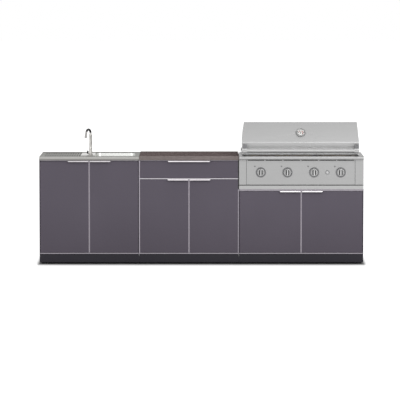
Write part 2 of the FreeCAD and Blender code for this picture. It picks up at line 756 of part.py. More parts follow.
def rail(name, left, right, z, setback, pivots):
    """A flat rail across the front of a cabinet, with holes for the pivots of its doors."""
    strip = box(
        f"{name}_strip",
        (left + s.side_lip, right - s.side_lip),
        (front + setback, carcass_front),
        z,
    )
    if not pivots:
        return strip
    holes = []
    for side in ("left", "right"):
        start = (pivot_x(left, right, side), front + s.pivot_face, z[0])
        radius = s.pivot_radius + s.pivot_clearance
        holes.append(cylinder(f"{name}_{side}_hole", start, radius, z[1] - z[0]))
    return cut(name, strip, holes)


def build_rails():
    """The bright rails around the doors, and the stretchers that tie the side panels."""
    pieces = []
    for name, left, right, top in CABINETS:
        low = (base, base + s.base_rail_height)
        pieces.append(rail(f"{name}_base_rail", left, right, low, s.rail_setback, True))
        inside = (left + s.panel_thickness, right - s.panel_thickness)
        high = (top - s.panel_thickness, top)
        front_span = (carcass_front, carcass_front + s.stretcher_depth)
        rear_span = (back_panel_front - s.stretcher_depth, back_panel_front)
        pieces.append(box(f"{name}_front_stretcher", inside, front_span, high))
        pieces.append(box(f"{name}_rear_stretcher", inside, rear_span, high))
    high = (s.carcass_top - s.top_rail_height, s.carcass_top)
    pieces.append(rail("sink_top_rail", sink_left, drawer_left, high, s.rail_setback, True))
    pieces.append(rail("drawer_top_rail", drawer_left, grill_left, high, s.rail_setback, False))
    middle = (middle_rail_bottom, middle_rail_top)
    pieces.append(rail("middle_rail", drawer_left, grill_left, middle, s.rail_setback, True))
    inside = (drawer_left + s.panel_thickness, grill_left - s.panel_thickness)
    span = (carcass_front, carcass_front + s.stretcher_depth)
    high = (middle_rail_top - s.panel_thickness, middle_rail_top)
    pieces.append(box("middle_stretcher", inside, span, high))
    high = (grill_rail_bottom, s.grill_carcass_top)
    pieces.append(
        rail("grill_top_rail", grill_left, grill_right, high, s.grill_rail_setback, True)
    )
    node("cabinet_rails", group("rails", pieces))


def build_kicks():
    """The toe kicks: a front sheet under each cabinet, turned back along the two ends."""
    high = (s.kick_gap, base)
    face = (front + s.kick_setback, front + s.kick_setback + s.kick_thickness)
    side = (front + s.kick_setback, back_panel_rear)
    gap = s.cabinet_joint
    sink = fuse(
        "sink_kick",
        [
            box("sink_kick_front", (sink_left, drawer_left - gap), face, high),
            box("sink_kick_end", (sink_left, sink_left + s.kick_thickness), side, high),
        ],
    )
    drawer = box("drawer_kick", (drawer_left + gap, grill_left - gap), face, high)
    grill = fuse(
        "grill_kick",
        [
            box("grill_kick_front", (grill_left + gap, grill_right), face, high),
            box("grill_kick_end", (grill_right - s.kick_thickness, grill_right), side, high),
        ],
    )
    node("toe_kicks", group("kicks", [sink, drawer, grill]))


def build_feet():
    """Four levelling feet under each cabinet."""
    feet = []
    for name, left, right, _ in CABINETS:
        for x in (left + s.foot_inset, right - s.foot_inset):
            for y in (carcass_front + s.foot_inset, back - s.foot_inset):
                foot = turned(
                    f"{name}_foot_{len(feet) + 1}",
                    [
                        (0, 0),
                        (s.foot_pad_radius, 0),
                        (s.foot_pad_radius, s.foot_pad_height),
                        (s.foot_stem_radius, s.foot_pad_height * 2),
                        (s.foot_stem_radius, base),
                        (0, base),
                    ],
                )
                feet.append(place(foot, x, y))
    node("levelling_feet", group("feet", feet))


def build_bolts():
    """The bolts that tie neighbouring cabinets together."""
    bolts = []
    for line in (drawer_left, grill_left):
        for y, z in bolt_places():
            name = f"bolt_{len(bolts) + 1}"
            inner = line - s.panel_thickness
            outer = line + s.panel_thickness
            shank = (inner - s.bolt_head_length, y, z)
            length = (outer - inner) + s.bolt_head_length * 2
            heads = [(inner - s.bolt_head_length, y, z), (outer, y, z)]
            parts = [cylinder(f"{name}_shank", shank, s.bolt_radius, length, "x")]
            for index, start in enumerate(heads):
                parts.append(
                    cylinder(
                        f"{name}_head_{index}", start, s.bolt_head_radius, s.bolt_head_length, "x"
                    )
                )
            bolts.append(fuse(name, parts))
    node("assembly_bolts", group("bolts", bolts))


def framed_front(name, x, z, pivot=None):
    """A thin bright frame with a slate coloured panel set in its face."""
    face = (front, front + s.door_thickness)
    outside = box(f"{name}_outside", x, face, z)
    opening = box(
        f"{name}_opening",
        (x[0] + s.door_bar, x[1] - s.door_bar),
        face,
        (z[0] + s.door_bar, z[1] - s.door_bar),
    )
    seat = [
        (x[0] + s.door_edge, x[1] - s.door_edge),
        (front, front + s.door_infill),
        (z[0] + s.door_edge, z[1] - s.door_edge),
    ]
    tools = [fuse(f"{name}_recess", [opening, box(f"{name}_seat", *seat)])]
    if pivot is not None:
        depth = s.pivot_depth + s.pivot_end_gap
        for end, start in (("lower", z[0]), ("upper", z[1] - depth)):
            bore = (pivot, front + s.pivot_face, start)
            radius = s.pivot_radius + s.pivot_clearance
            tools.append(cylinder(f"{name}_{end}_bore", bore, radius, depth))
    frame = cut(f"{name}_frame", outside, tools)
    return group(f"{name}_pair", [frame, box(f"{name}_infill", *seat)])


def edge_pull(name, x, top, slanted):
    """A folded strip over the top edge of a door or drawer, with its slanted ends named."""
    body = new_body(name)
    tip = front - s.pull_reach
    sketch = new_sketch(body, f"{name}_outline", "YZ", x[0])
    add_outline(
        sketch,
        [
            (front + s.pull_seat, top),
            (front + s.pull_seat, top + s.pull_sheet),
            (tip, top + s.pull_sheet),
            (tip, top - s.pull_drop),
            (tip + s.pull_sheet, top - s.pull_drop),
            (tip + s.pull_sheet, top),
        ],
    )
    pad(body, sketch, x[1] - x[0])
    corners = new_sketch(body, f"{name}_ends", "XZ", tip)
    low = top - s.pull_drop
    if "left" in slanted:
        add_outline(corners, [(x[0], low), (x[0] + s.pull_slant, low), (x[0], top)])
    if "right" in slanted:
        add_outline(corners, [(x[1] - s.pull_slant, low), (x[1], low), (x[1], top)])
    pocket(body, corners, s.pull_sheet)
    return body


def build_doors():
    """The six doors, each with its edge pull, and the pins that they turn on."""
    pins = []
    for pair, door, left, right, top in DOOR_PAIRS:
        for side in ("left", "right"):
            span = door_span(left, right, side)
            pivot = pivot_x(left, right, side)
            name = f"{door}_{side}"
            node(name, framed_front(name, span, (door_bottom, top), pivot))
            if side == "left":
                end = span[1] - s.pull_middle_gap
                pull = (end - s.pull_length, end)
            else:
                start = span[0] + s.pull_middle_gap
                pull = (start, start + s.pull_length)
            node(f"{pair}_pull_{side}", edge_pull(f"{pair}_pull_{side}_strip", pull, top, side))
            y = front + s.pivot_face
            lower = (pivot, y, base)
            reach = s.base_rail_height + s.door_floor_gap + s.pivot_depth
            pins.append(cylinder(f"{name}_lower_pin", lower, s.pivot_radius, reach))
            rail_height = {
                "sink": s.top_rail_height,
                "drawer_cabinet": s.middle_rail_height,
                "grill": s.grill_rail_height,
            }[pair]
            upper = (pivot, y, top - s.pivot_depth)
            reach = s.pivot_depth + s.rail_pull_gap + rail_height
            pins.append(cylinder(f"{name}_upper_pin", upper, s.pivot_radius, reach))
    node("door_pivot_pins", group("pivot_pins", pins))


def slide_member(name, outer, inward, start, end, level, low):
    """A straight member of a drawer slide: the inmost is a bar, the others hold it."""
    step = (s.slide_wall + s.slide_gap) * level
    deep = (carcass_front + s.slide_setback, carcass_front + s.slide_setback + s.slide_length)
    high = (low + step, low + s.slide_height - step)
    ends = (outer + start * inward, outer + end * inward)
    x = ends if inward > 0 else ends[::-1]
    bar = box(f"{name}_bar", x, deep, high)
    if level == 2:
        return bar
    wall = s.slide_wall
    kept = (x[0] + wall, x[1]) if inward > 0 else (x[0], x[1] - wall)
    groove = box(f"{name}_groove", kept, deep, (high[0] + wall, high[1] - wall))
    return cut(name, bar, [groove])


def build_drawer():
    """The drawer, its edge pull and its two slides of three members each."""
    span = (
        drawer_left + s.side_lip + s.door_side_gap,
        grill_left - s.side_lip - s.door_side_gap,
    )
    node("drawer_front", framed_front("drawer_front", span, (drawer_front_bottom, door_top)))
    middle = between(*span)
    pull = (middle - s.drawer_pull_length / 2, middle + s.drawer_pull_length / 2)
    node("drawer_pull", edge_pull("drawer_pull_strip", pull, door_top, ("left", "right")))

    inner_left = drawer_left + s.panel_thickness
    inner_right = grill_left - s.panel_thickness
    x = (inner_left + s.slide_width, inner_right - s.slide_width)
    start = front + s.door_thickness
    y = (start, start + s.drawer_box_depth)
    z = (drawer_front_bottom + s.drawer_box_rise, door_top - s.drawer_box_drop)
    outside = box("drawer_box_outside", x, y, z)
    wall = s.drawer_sheet
    inside = box(
        "drawer_box_inside", (x[0] + wall, x[1] - wall), (y[0] + wall, y[1] - wall), (z[0] + wall, z[1])
    )
    node("drawer_box", cut("drawer_tub", outside, [inside]))

    low = z[0] + s.slide_rise
    step = s.slide_wall + s.slide_gap
    spans = (
        ("outer", ZERO, s.slide_width - s.slide_gap),
        ("middle", step, s.slide_width - s.slide_gap),
        ("inner", step * 2, s.slide_width),
    )
    for level, (member, start, end) in enumerate(spans):
        bars = [
            slide_member(f"{side}_{member}", outer, inward, start, end, level, low)
            for side, outer, inward in (("left", inner_left, 1), ("right", inner_right, -1))
        ]
        node(f"slide_{member}_members", group(f"{member}_members", bars))


def build_worktop():
    """The stone slab of the drawer cabinet."""
    x = (drawer_left + s.cabinet_joint, grill_left - s.cabinet_joint)
    y = (front - s.top_overhang, back)
    body = new_body("slab")
    sketch = new_sketch(body, "slab_outline", "XY", s.carcass_top)
    add_outline(sketch, [(x[0], y[0]), (x[1], y[0]), (x[1], y[1]), (x[0], y[1])])
    pad(body, sketch, s.slab_thickness)
    round_edges(
        body,
        s.slab_round,
        lambda e: runs_along(e, "x") and near(e.CenterOfMass.y, y[0].value),
    )
    node("granite_worktop", body)


# The sink cabinet's top, bowl and faucet share these places
sink_top_right = drawer_left - s.cabinet_joint
bowl_x = (sink_top_right - s.bowl_right - s.bowl_width, sink_top_right - s.bowl_right)
bowl_y = (front + s.bowl_setback, back - s.bowl_rear_room)
bowl_rim = sink_top_face - s.sink_sheet
bowl_floor = bowl_rim - s.bowl_depth
drain_x = between(*bowl_x)
drain_y = between(*bowl_y)
cup_bottom = bowl_floor - s.drain_cup_depth
trap_top = cup_bottom - s.tailpiece_length
outlet_height = trap_top - s.outlet_drop
faucet_x = bowl_x[0] - s.faucet_bowl_gap
faucet_y = front + s.faucet_setback


def build_sink_top():
    """The folded steel top, with the bowl's opening, a grooved drainboard and a faucet hole."""
    body = new_body("top_sheet")
    x = (sink_left, sink_top_right)
    y = (front - s.top_overhang, back)
    sketch = new_sketch(body, "top_sheet_outline", "XY", s.carcass_top)
    add_outline(sketch, [(x[0], y[0]), (x[1], y[0]), (x[1], y[1]), (x[0], y[1])])
    pad(body, sketch, s.sink_top_height)
    round_edges(
        body,
        s.sink_top_round,
        lambda e: runs_along(e, "x")
        and near(e.CenterOfMass.y, y[0].value)
        and near(e.CenterOfMass.z, sink_top_face.value),
    )
    hollow(body, s.sink_sheet, lambda f: near(f.BoundBox.ZMax, s.carcass_top.value))
    opening = new_sketch(body, "top_sheet_opening", "XY", sink_top_face)
    wall = s.sink_sheet
    add_rounded_rectangle(
        opening,
        (bowl_x[0] + wall, bowl_x[1] - wall),
        (bowl_y[0] + wall, bowl_y[1] - wall),
        s.bowl_corner - wall,
    )
    pocket(body, opening, s.sink_sheet * 2, forwards=False)
    hole = new_sketch(body, "top_sheet_faucet_hole", "XY", sink_top_face)
    add_circle(hole, (faucet_x, faucet_y), s.faucet_shank_radius + s.turning_gap)
    pocket(body, hole, s.sink_sheet * 2, forwards=False)
    groove = new_sketch(body, "top_sheet_groove", "XY", sink_top_face)
    start = sink_left + s.drainboard_left
    room = faucet_x - s.faucet_base_radius - s.drainboard_right - start
    count = copies_along(room, s.drainboard_groove, s.drainboard_pitch)
    across = (start, start + s.drainboard_groove)
    along = (front + s.drainboard_front, back - s.drainboard_rear_room)
    add_outline(
        groove,
        [(across[0], along[0]), (across[1], along[0]), (across[1], along[1]), (across[0], along[1])],
    )
    feature = pocket(body, groove, s.drainboard_groove_depth, forwards=False)
    repeat(body, feature, (groove, ["H_Axis"]), s.drainboard_pitch, count)
    node("sink_top", body)


def build_bowl():
    """The pressed bowl with its rim under the top and its drain hole."""
    body = new_body("bowl")
    outline = new_sketch(body, "bowl_outline", "XY", bowl_floor)
    add_rounded_rectangle(outline, bowl_x, bowl_y, s.bowl_corner)
    pad(body, outline, s.bowl_depth)
    round_edges(body, s.bowl_bottom_round, lambda e: near(e.BoundBox.ZMax, bowl_floor.value))
    hollow(body, s.sink_sheet, lambda f: near(f.BoundBox.ZMin, bowl_rim.value))
    rim = new_sketch(body, "bowl_rim", "XY", bowl_rim - s.sink_sheet)
    edge, wall = s.bowl_flange, s.sink_sheet
    add_rounded_rectangle(
        rim,
        (bowl_x[0] - edge, bowl_x[1] + edge),
        (bowl_y[0] - edge, bowl_y[1] + edge),
        s.bowl_corner + edge,
    )
    add_rounded_rectangle(
        rim,
        (bowl_x[0] + wall, bowl_x[1] - wall),
        (bowl_y[0] + wall, bowl_y[1] - wall),
        s.bowl_corner - wall,
    )
    pad(body, rim, s.sink_sheet)
    drain = new_sketch(body, "bowl_drain", "XY", bowl_floor + s.sink_sheet)
    add_circle(drain, (drain_x, drain_y), s.drain_radius)
    pocket(body, drain, s.sink_sheet * 2, forwards=False)
    node("sink_bowl", body)


def build_drain():
    """The drain cup, tailpiece, bottle trap and outlet pipe, and the basket in the cup."""
    seat = bowl_floor + s.sink_sheet
    wall, radius = s.drain_sheet, s.drain_radius
    pipe, bore = s.pipe_radius, s.pipe_radius - s.pipe_wall
    cup = turned(
        "drain_cup",
        [
            (bore, cup_bottom),
            (radius, cup_bottom),
            (radius, seat),
            (radius + s.drain_flange, seat),
            (radius + s.drain_flange, seat + wall),
            (radius - wall, seat + wall),
            (radius - wall, cup_bottom + wall),
            (bore, cup_bottom + wall),
        ],
    )
    trap_bottom = trap_top - s.trap_height
    trap = turned(
        "bottle_trap",
        [
            (0, trap_bottom),
            (s.trap_radius, trap_bottom),
            (s.trap_radius, trap_top),
            (pipe, trap_top),
            (pipe, cup_bottom),
            (bore, cup_bottom),
            (bore, trap_bottom + pipe),
            (0, trap_bottom + pipe),
        ],
    )
    place(cup, drain_x, drain_y)
    place(trap, drain_x, drain_y)
    middle = (drain_x, drain_y, outlet_height)
    boss = cut(
        "outlet_boss",
        cylinder("outlet_boss_blank", middle, s.outlet_boss_radius, s.outlet_boss_length, "y"),
        [cylinder("outlet_boss_room", (drain_x, drain_y, trap_bottom), pipe, s.trap_height)],
    )
    start = (drain_x, drain_y + s.outlet_boss_length, outlet_height)
    length = back - drain_y - s.outlet_boss_length
    outlet = tube("outlet", start, pipe, s.pipe_wall, length, "y")
    node("sink_drain", group("drain", [cup, fuse("trap", [trap, boss]), outlet]))

    sheet_, rim = s.basket_sheet, seat + wall + s.basket_foot_gap
    bottom = rim - s.basket_depth
    basket = turned(
        "basket",
        [
            (0, bottom),
            (s.basket_radius, bottom),
            (s.basket_radius, rim),
            (s.basket_radius + s.basket_rim, rim),
            (s.basket_radius + s.basket_rim, rim + sheet_),
            (s.basket_radius - sheet_, rim + sheet_),
            (s.basket_radius - sheet_, bottom + sheet_),
            (s.basket_knob / 2, bottom + sheet_),
            (s.basket_knob / 2, rim - s.basket_knob),
            (s.basket_knob, rim - s.basket_knob),
            (s.basket_knob, rim),
            (0, rim),
        ],
    )
    node("strainer_basket", place(basket, drain_x, drain_y))


def build_faucet():
    """The faucet: body, swivelling gooseneck spout, and the side cap with its lever."""
    top = sink_top_face
    body_top = top + s.faucet_body_height
    hub_height = top + s.lever_height
    under = top - s.sink_sheet
    column = turned(
        "faucet_column",
        [
            (0, top - s.faucet_shank_length),
            (s.faucet_shank_radius, top - s.faucet_shank_length),
            (s.faucet_shank_radius, top),
            (s.faucet_base_radius, top),
            (s.faucet_base_radius, top + s.faucet_base_height),
            (s.faucet_body_radius, top + s.faucet_base_height * 3),
            (s.faucet_body_radius, body_top),
            (s.spigot_radius, body_top),
            (s.spigot_radius, body_top + s.spigot_height),
            (0, body_top + s.spigot_height),
        ],
    )
    place(column, faucet_x, faucet_y)
    boss = cylinder(
        "faucet_boss",
        (faucet_x - s.faucet_body_radius - s.lever_boss, faucet_y, hub_height),
        s.lever_hub_radius,
        s.faucet_body_radius,
        "x",
    )
    nut_start = (faucet_x, faucet_y, under - s.faucet_nut_height)
    nut = cut(
        "faucet_nut",
        cylinder("faucet_nut_blank", nut_start, s.faucet_nut_radius, s.faucet_nut_height),
        [cylinder("faucet_nut_bore", nut_start, s.faucet_shank_radius, s.faucet_nut_height)],
    )
    node("faucet_body", group("faucet_fixed", [fuse("faucet_casting", [column, boss]), nut]))

    start = body_top + s.turning_gap
    curve_start = body_top + s.spout_rise
    bore = s.spigot_radius + s.pivot_clearance
    riser = turned(
        "spout_riser",
        [
            (bore, start),
            (s.spout_riser_radius, start),
            (s.spout_riser_radius, curve_start - s.spout_riser_radius),
            (s.spout_radius, curve_start),
            (0, curve_start),
            (0, body_top + s.spigot_height + s.turning_gap),
            (bore, body_top + s.spigot_height + s.turning_gap),
        ],
    )
    bend = doc.addObject("Part::Torus", "spout_bend_tube")
    bend.setExpression("Radius1", s.spout_bend.formula)
    bend.setExpression("Radius2", s.spout_radius.formula)
    bend.setExpression("Angle3", s.spout_sweep.formula)
    bend.Placement = Placement(
        Vector(), Rotation(Vector(1, 0, 0), -90) * Rotation(Vector(0, 0, 1), 180)
    )
    place(bend, s.spout_bend, 0, curve_start)
    tip_end = s.spout_drop + s.spout_tip_length
    mouth_radius = s.spout_tip_radius - s.spout_wall
    tip = turned(
        "spout_tip",
        [
            (0, 0),
            (s.spout_radius, 0),
            (s.spout_radius, s.spout_drop),
            (s.spout_tip_radius, s.spout_drop),
            (s.spout_tip_radius, tip_end),
            (mouth_radius, tip_end),
            (mouth_radius, s.spout_drop + s.spout_wall),
            (0, s.spout_drop + s.spout_wall),
        ],
    )
    tip.Placement = Placement(Vector(), Rotation(Vector(0, 1, 0), 1))
    tip.setExpression("Placement.Rotation.Angle", s.spout_sweep.formula)
    reach = s.spout_bend * (size(1) - cosine(s.spout_sweep))
    place(tip, reach, 0, curve_start + s.spout_bend * sine(s.spout_sweep))
    gooseneck = fuse("gooseneck", [riser, bend, tip])
    heading = Rotation(Vector(0, 0, 1), 1)
    gooseneck.Placement = Placement(Vector(), heading)
    gooseneck.setExpression("Placement.Rotation.Angle", (-(s.spout_yaw + 90)).formula)
    node("faucet_spout", place(gooseneck, faucet_x, faucet_y))

    hub_outer = faucet_x - s.faucet_body_radius - s.lever_boss - s.turning_gap
    hub_end = hub_outer - s.lever_hub_length
    pin_x = between(hub_end, hub_outer)
    blade = (pin_x - s.lever_blade / 2, pin_x + s.lever_blade / 2)
    blade_y = (faucet_y - s.lever_blade_width / 2, faucet_y + s.lever_blade_width / 2)
    slot_y = (blade_y[0] - s.turning_gap, blade_y[1] + s.turning_gap)
    pin_length = s.lever_hub_radius
    pin_start = faucet_y - pin_length / 2
    hub = cylinder(
        "cap_blank", (hub_end, faucet_y, hub_height), s.lever_hub_radius, s.lever_hub_length, "x"
    )
    slot = box(
        "cap_slot",
        (hub_end, blade[1] + s.lever_boss / 2),
        slot_y,
        (hub_height - s.lever_hub_radius / 2, hub_height + s.lever_hub_radius),
    )
    pin_bore = cylinder(
        "cap_pin_bore",
        (pin_x, pin_start, hub_height),
        s.lever_pin_radius + s.pivot_clearance,
        pin_length,
        "y",
    )
    node("faucet_cap", cut("cap", hub, [fuse("cap_space", [slot, pin_bore])]))
    stick = box(
        "lever_stick", blade, blade_y, (hub_height - s.lever_foot, hub_height + s.lever_rise)
    )
    pin = cylinder("lever_pin", (pin_x, pin_start, hub_height), s.lever_pin_radius, pin_length, "y")
    node("faucet_lever", fuse("lever", [stick, pin]))


# The grill's shared places, from the cabinet upwards
tray_front_bottom = s.grill_carcass_top + s.tray_front_gap
tray_front_top = tray_front_bottom + s.tray_front_height
panel_bottom = tray_front_top + s.panel_tray_gap
deck_bottom = panel_bottom + s.panel_height
deck_top = deck_bottom + s.deck_height
knob_height = between(panel_bottom, deck_bottom) - s.knob_drop
firebox_bottom = knob_height - s.firebox_drop
tamer_height = knob_height + s.burner_radius + s.tamer_gap
grate_top = deck_top - s.grate_drop
lid_bottom = deck_top + s.lid_gap
lid_bend_height = lid_bottom + s.lid_bend_rise
lid_top_height = lid_bend_height + s.lid_slope_rise
handle_height = lid_bottom + s.handle_rise
gauge_height = lid_bend_height + s.gauge_rise

# From front to back and from side to side
deck_y = (front - s.deck_overhang, back - s.deck_rear_room)
panel_face = front + s.panel_setback
head_left, head_right = grill_left - s.head_shift, grill_right - s.head_shift
panel_x = (head_left + s.cheek_width, head_right - s.cheek_width)
firebox_x = (head_left + s.firebox_side_room, head_right - s.firebox_side_room)
firebox_y = (front + s.firebox_setback, deck_y[1] - s.firebox_rear_room)
lid_x = (head_left + s.lid_side_room, head_right - s.lid_side_room)
lid_rear = deck_y[1] - s.lid_rear_room
lid_pivot = (lid_rear - s.lid_pivot_inset, deck_top + s.lid_pivot_height)
valve_front = panel_face + s.valve_setback
valve_rear = valve_front + s.valve_length
plug_end = valve_front + s.plug_length
shaft_end = valve_front + s.shaft_engagement
burner_places = [
    between(panel_x[0] + s.knob_margin, panel_x[1] - s.knob_margin, step / 3) for step in range(4)
]
igniter_x = between(burner_places[2], burner_places[3])


def build_casing():
    """The sheet casing of the grill, which stands on its cabinet and is open in front."""
    wall = s.casing_sheet
    z = (s.grill_carcass_top, deck_bottom)
    outside = box("casing_outside", (grill_left, grill_right), (carcass_front, back - wall), z)
    room = box(
        "casing_room",
        (grill_left + wall, grill_right - wall),
        (carcass_front, back - wall * 2),
        (z[0], z[1] - wall),
    )
    over = box(
        "casing_over",
        (grill_left + wall, grill_right - wall),
        (carcass_front, deck_y[1] - wall),
        (z[1] - wall, z[1]),
    )
    node("grill_casing", cut("casing", outside, [fuse("casing_space", [room, over])]))


def build_deck():
    """The deck around the lid, with its rounded front edge and the firebox's opening."""
    wall = s.casing_sheet
    x = (grill_left + s.head_gap, grill_right)
    y = deck_y
    z = (deck_bottom, deck_top)
    body = new_body("deck")
    sketch = new_sketch(body, "deck_outline", "XY", z[0])
    add_outline(sketch, [(x[0], y[0]), (x[1], y[0]), (x[1], y[1]), (x[0], y[1])])
    pad(body, sketch, z[1] - z[0])
    round_edges(
        body,
        s.deck_bullnose,
        lambda e: runs_along(e, "x") and near(e.CenterOfMass.y, y[0].value),
    )
    inner = new_sketch(body, "deck_inside", "XY", z[0])
    low, high = x[0] + wall, x[1] - wall
    near_edge, far_edge = y[0] + s.deck_bullnose, y[1] - wall
    add_outline(inner, [(low, near_edge), (high, near_edge), (high, far_edge), (low, far_edge)])
    pocket(body, inner, z[1] - z[0] - wall)
    gap = s.firebox_gap
    opening = new_sketch(body, "deck_opening", "XY", z[1])
    low, high = firebox_x[0] - gap, firebox_x[1] + gap
    near_edge, far_edge = firebox_y[0] - gap, firebox_y[1] + gap
    add_outline(opening, [(low, near_edge), (high, near_edge), (high, far_edge), (low, far_edge)])
    pocket(body, opening, wall * 2, forwards=False)
    node("grill_deck", body)


def cheek(name, x):
    """A folded cheek beside the control panel."""
    y = (front + s.cheek_setback, carcass_front)
    z = (panel_bottom, deck_bottom)
    wall = s.casing_sheet
    outside = box(f"{name}_outside", x, y, z)
    inside = box(f"{name}_inside", (x[0] + wall, x[1] - wall), (y[0] + wall, y[1]), z)
    return cut(name, outside, [inside])


def build_control_panel():
    """The control panel, with its holes and slots, between the two cheeks."""
    wall = s.casing_sheet
    z = (panel_bottom, deck_bottom)
    body = new_body("panel")
    outline = new_sketch(body, "panel_outline", "XZ", panel_face)
    add_outline(
        outline, [(panel_x[0], z[0]), (panel_x[1], z[0]), (panel_x[1], z[1]), (panel_x[0], z[1])]
    )
    pad(body, outline, s.panel_fold)
    inner = new_sketch(body, "panel_inside", "XZ", panel_face + wall)
    low, high = panel_x[0] + wall, panel_x[1] - wall
    bottom, top = z[0] + wall, z[1] - wall
    add_outline(inner, [(low, bottom), (high, bottom), (high, top), (low, top)])
    pocket(body, inner, s.panel_fold)
    holes = new_sketch(body, "panel_holes", "XZ", panel_face)
    for x in burner_places:
        add_circle(holes, (x, knob_height), s.shaft_hole_radius)
    add_circle(holes, (igniter_x, knob_height), s.igniter_barrel_radius + s.pivot_clearance)
    pocket(body, holes, wall * 2)
    slot = new_sketch(body, "panel_slot", "XZ", panel_face)
    room = panel_x[1] - panel_x[0] - s.panel_slot_margin * 2
    count = copies_along(room, s.panel_slot_length, s.panel_slot_pitch)
    run = s.panel_slot_pitch * (count - 1) + s.panel_slot_length
    start = between(*panel_x) - run / 2
    end = start + s.panel_slot_length
    high = z[1] - s.panel_slot_drop
    low = high - s.panel_slot_height
    add_outline(slot, [(start, low), (end, low), (end, high), (start, high)])
    feature = pocket(body, slot, wall * 2)
    repeat(body, feature, (slot, ["H_Axis"]), s.panel_slot_pitch, count)
    cheeks = [
        cheek("left_cheek", (grill_left + s.head_gap, panel_x[0])),
        cheek("right_cheek", (panel_x[1], grill_right)),
    ]
    node("control_panel", group("panel_and_cheeks", [body, *cheeks]))


def build_knobs():
    """Four knobs with their square shafts, the valve plugs they turn, and their rings."""
    rings = []
    skirt_rear = panel_face - s.knob_gap
    face = panel_face - s.knob_standout
    body_front = face + s.grip_rise
    side = s.shaft_side / 2
    slack = side + s.shaft_clearance
    for number, x in enumerate(burner_places, 1):
        skirt = cylinder(
            f"knob_{number}_skirt",
            (x, skirt_rear - s.knob_skirt, knob_height),
            s.knob_radius,
            s.knob_skirt,
            "y",
        )
        grip_body = cylinder(
            f"knob_{number}_body",
            (x, body_front, knob_height),
            s.knob_grip_radius,
            skirt_rear - s.knob_skirt - body_front,
            "y",
        )
        bar = box(
            f"knob_{number}_bar",
            (x - s.grip_width / 2, x + s.grip_width / 2),
            (face, skirt_rear - s.knob_skirt),
            (knob_height - s.knob_grip_radius, knob_height + s.knob_grip_radius),
        )
        socket_start = skirt_rear - s.knob_socket_depth
        height = (knob_height - side, knob_height + side)
        socket = box(
            f"knob_{number}_socket", (x - side, x + side), (socket_start, skirt_rear), height
        )
        shaft = box(
            f"knob_{number}_shaft", (x - side, x + side), (socket_start, shaft_end), height
        )
        cap = cut(
            f"knob_{number}_cap", fuse(f"knob_{number}_solid", [skirt, grip_body, bar]), [socket]
        )
        node(f"knob_{number}", group(f"knob_{number}_and_shaft", [cap, shaft]))

        barrel = cylinder(
            f"plug_{number}_barrel",
            (x, valve_front - s.turning_gap, knob_height),
            s.plug_radius,
            s.plug_length,
            "y",
        )
        drive = box(
            f"plug_{number}_drive",
            (x - slack, x + slack),
            (valve_front - s.turning_gap, shaft_end + s.knob_travel + s.turning_gap),
            (knob_height - slack, knob_height + slack),
        )
        node(f"valve_plug_{number}", cut(f"plug_{number}", barrel, [drive]))

        ring_start = (x, panel_face - s.bezel_height, knob_height)
        ring = cylinder(f"ring_{number}_blank", ring_start, s.bezel_radius, s.bezel_height, "y")
        hole = cylinder(f"ring_{number}_hole", ring_start, s.bezel_opening, s.bezel_height, "y")
        rings.append(cut(f"ring_{number}", ring, [hole]))
    rings.append(igniter_collar())
    node("panel_rings", group("rings", rings))


def igniter_collar():
    """The collar and threaded barrel that the push button slides in."""
    collar = cylinder(
        "igniter_collar",
        (igniter_x, panel_face - s.igniter_collar_height, knob_height),
        s.igniter_collar_radius,
        s.igniter_collar_height,
        "y",
    )
    bore_length = s.igniter_length - s.igniter_proud + s.igniter_travel + s.turning_gap
    barrel = cylinder(
        "igniter_barrel",
        (igniter_x, panel_face, knob_height),
        s.igniter_barrel_radius,
        bore_length - s.igniter_collar_height + s.igniter_end_wall,
        "y",
    )
    bore = cylinder(
        "igniter_bore",
        (igniter_x, panel_face - s.igniter_collar_height, knob_height),
        s.igniter_radius + s.turning_gap,
        bore_length,
        "y",
    )
    return cut("igniter_housing", fuse("igniter_solid", [collar, barrel]), [bore])


def build_igniter():
    """The push button of the igniter."""
    start = panel_face - s.igniter_collar_height - s.igniter_proud
    button = cylinder(
        "button", (igniter_x, start, knob_height), s.igniter_radius, s.igniter_length, "y"
    )
    node("igniter_button", button)


def build_gas_rail():
    """The gas rail across the grill, with a valve body for each burner."""
    half = s.valve_width / 2
    rail_top = knob_height - half
    middle = between(valve_front, valve_rear)
    square = s.gas_rail_side
    run = box(
        "gas_rail_bar",
        (grill_left + s.casing_sheet, grill_right - s.casing_sheet),
        (middle - square / 2, middle + square / 2),
        (rail_top - square, rail_top),
    )
    pieces = [run]
    for number, x in enumerate(burner_places, 1):
        block = box(
            f"valve_{number}_block",
            (x - half, x + half),
            (valve_front, valve_rear),
            (knob_height - half, knob_height + half),
        )
        bore = cylinder(
            f"valve_{number}_bore",
            (x, valve_front, knob_height),
            s.plug_radius + s.plug_clearance,
            s.plug_length,
            "y",
        )
        pieces.append(cut(f"valve_{number}", block, [bore]))
    node("gas_rail", group("gas_rail_and_valves", pieces))


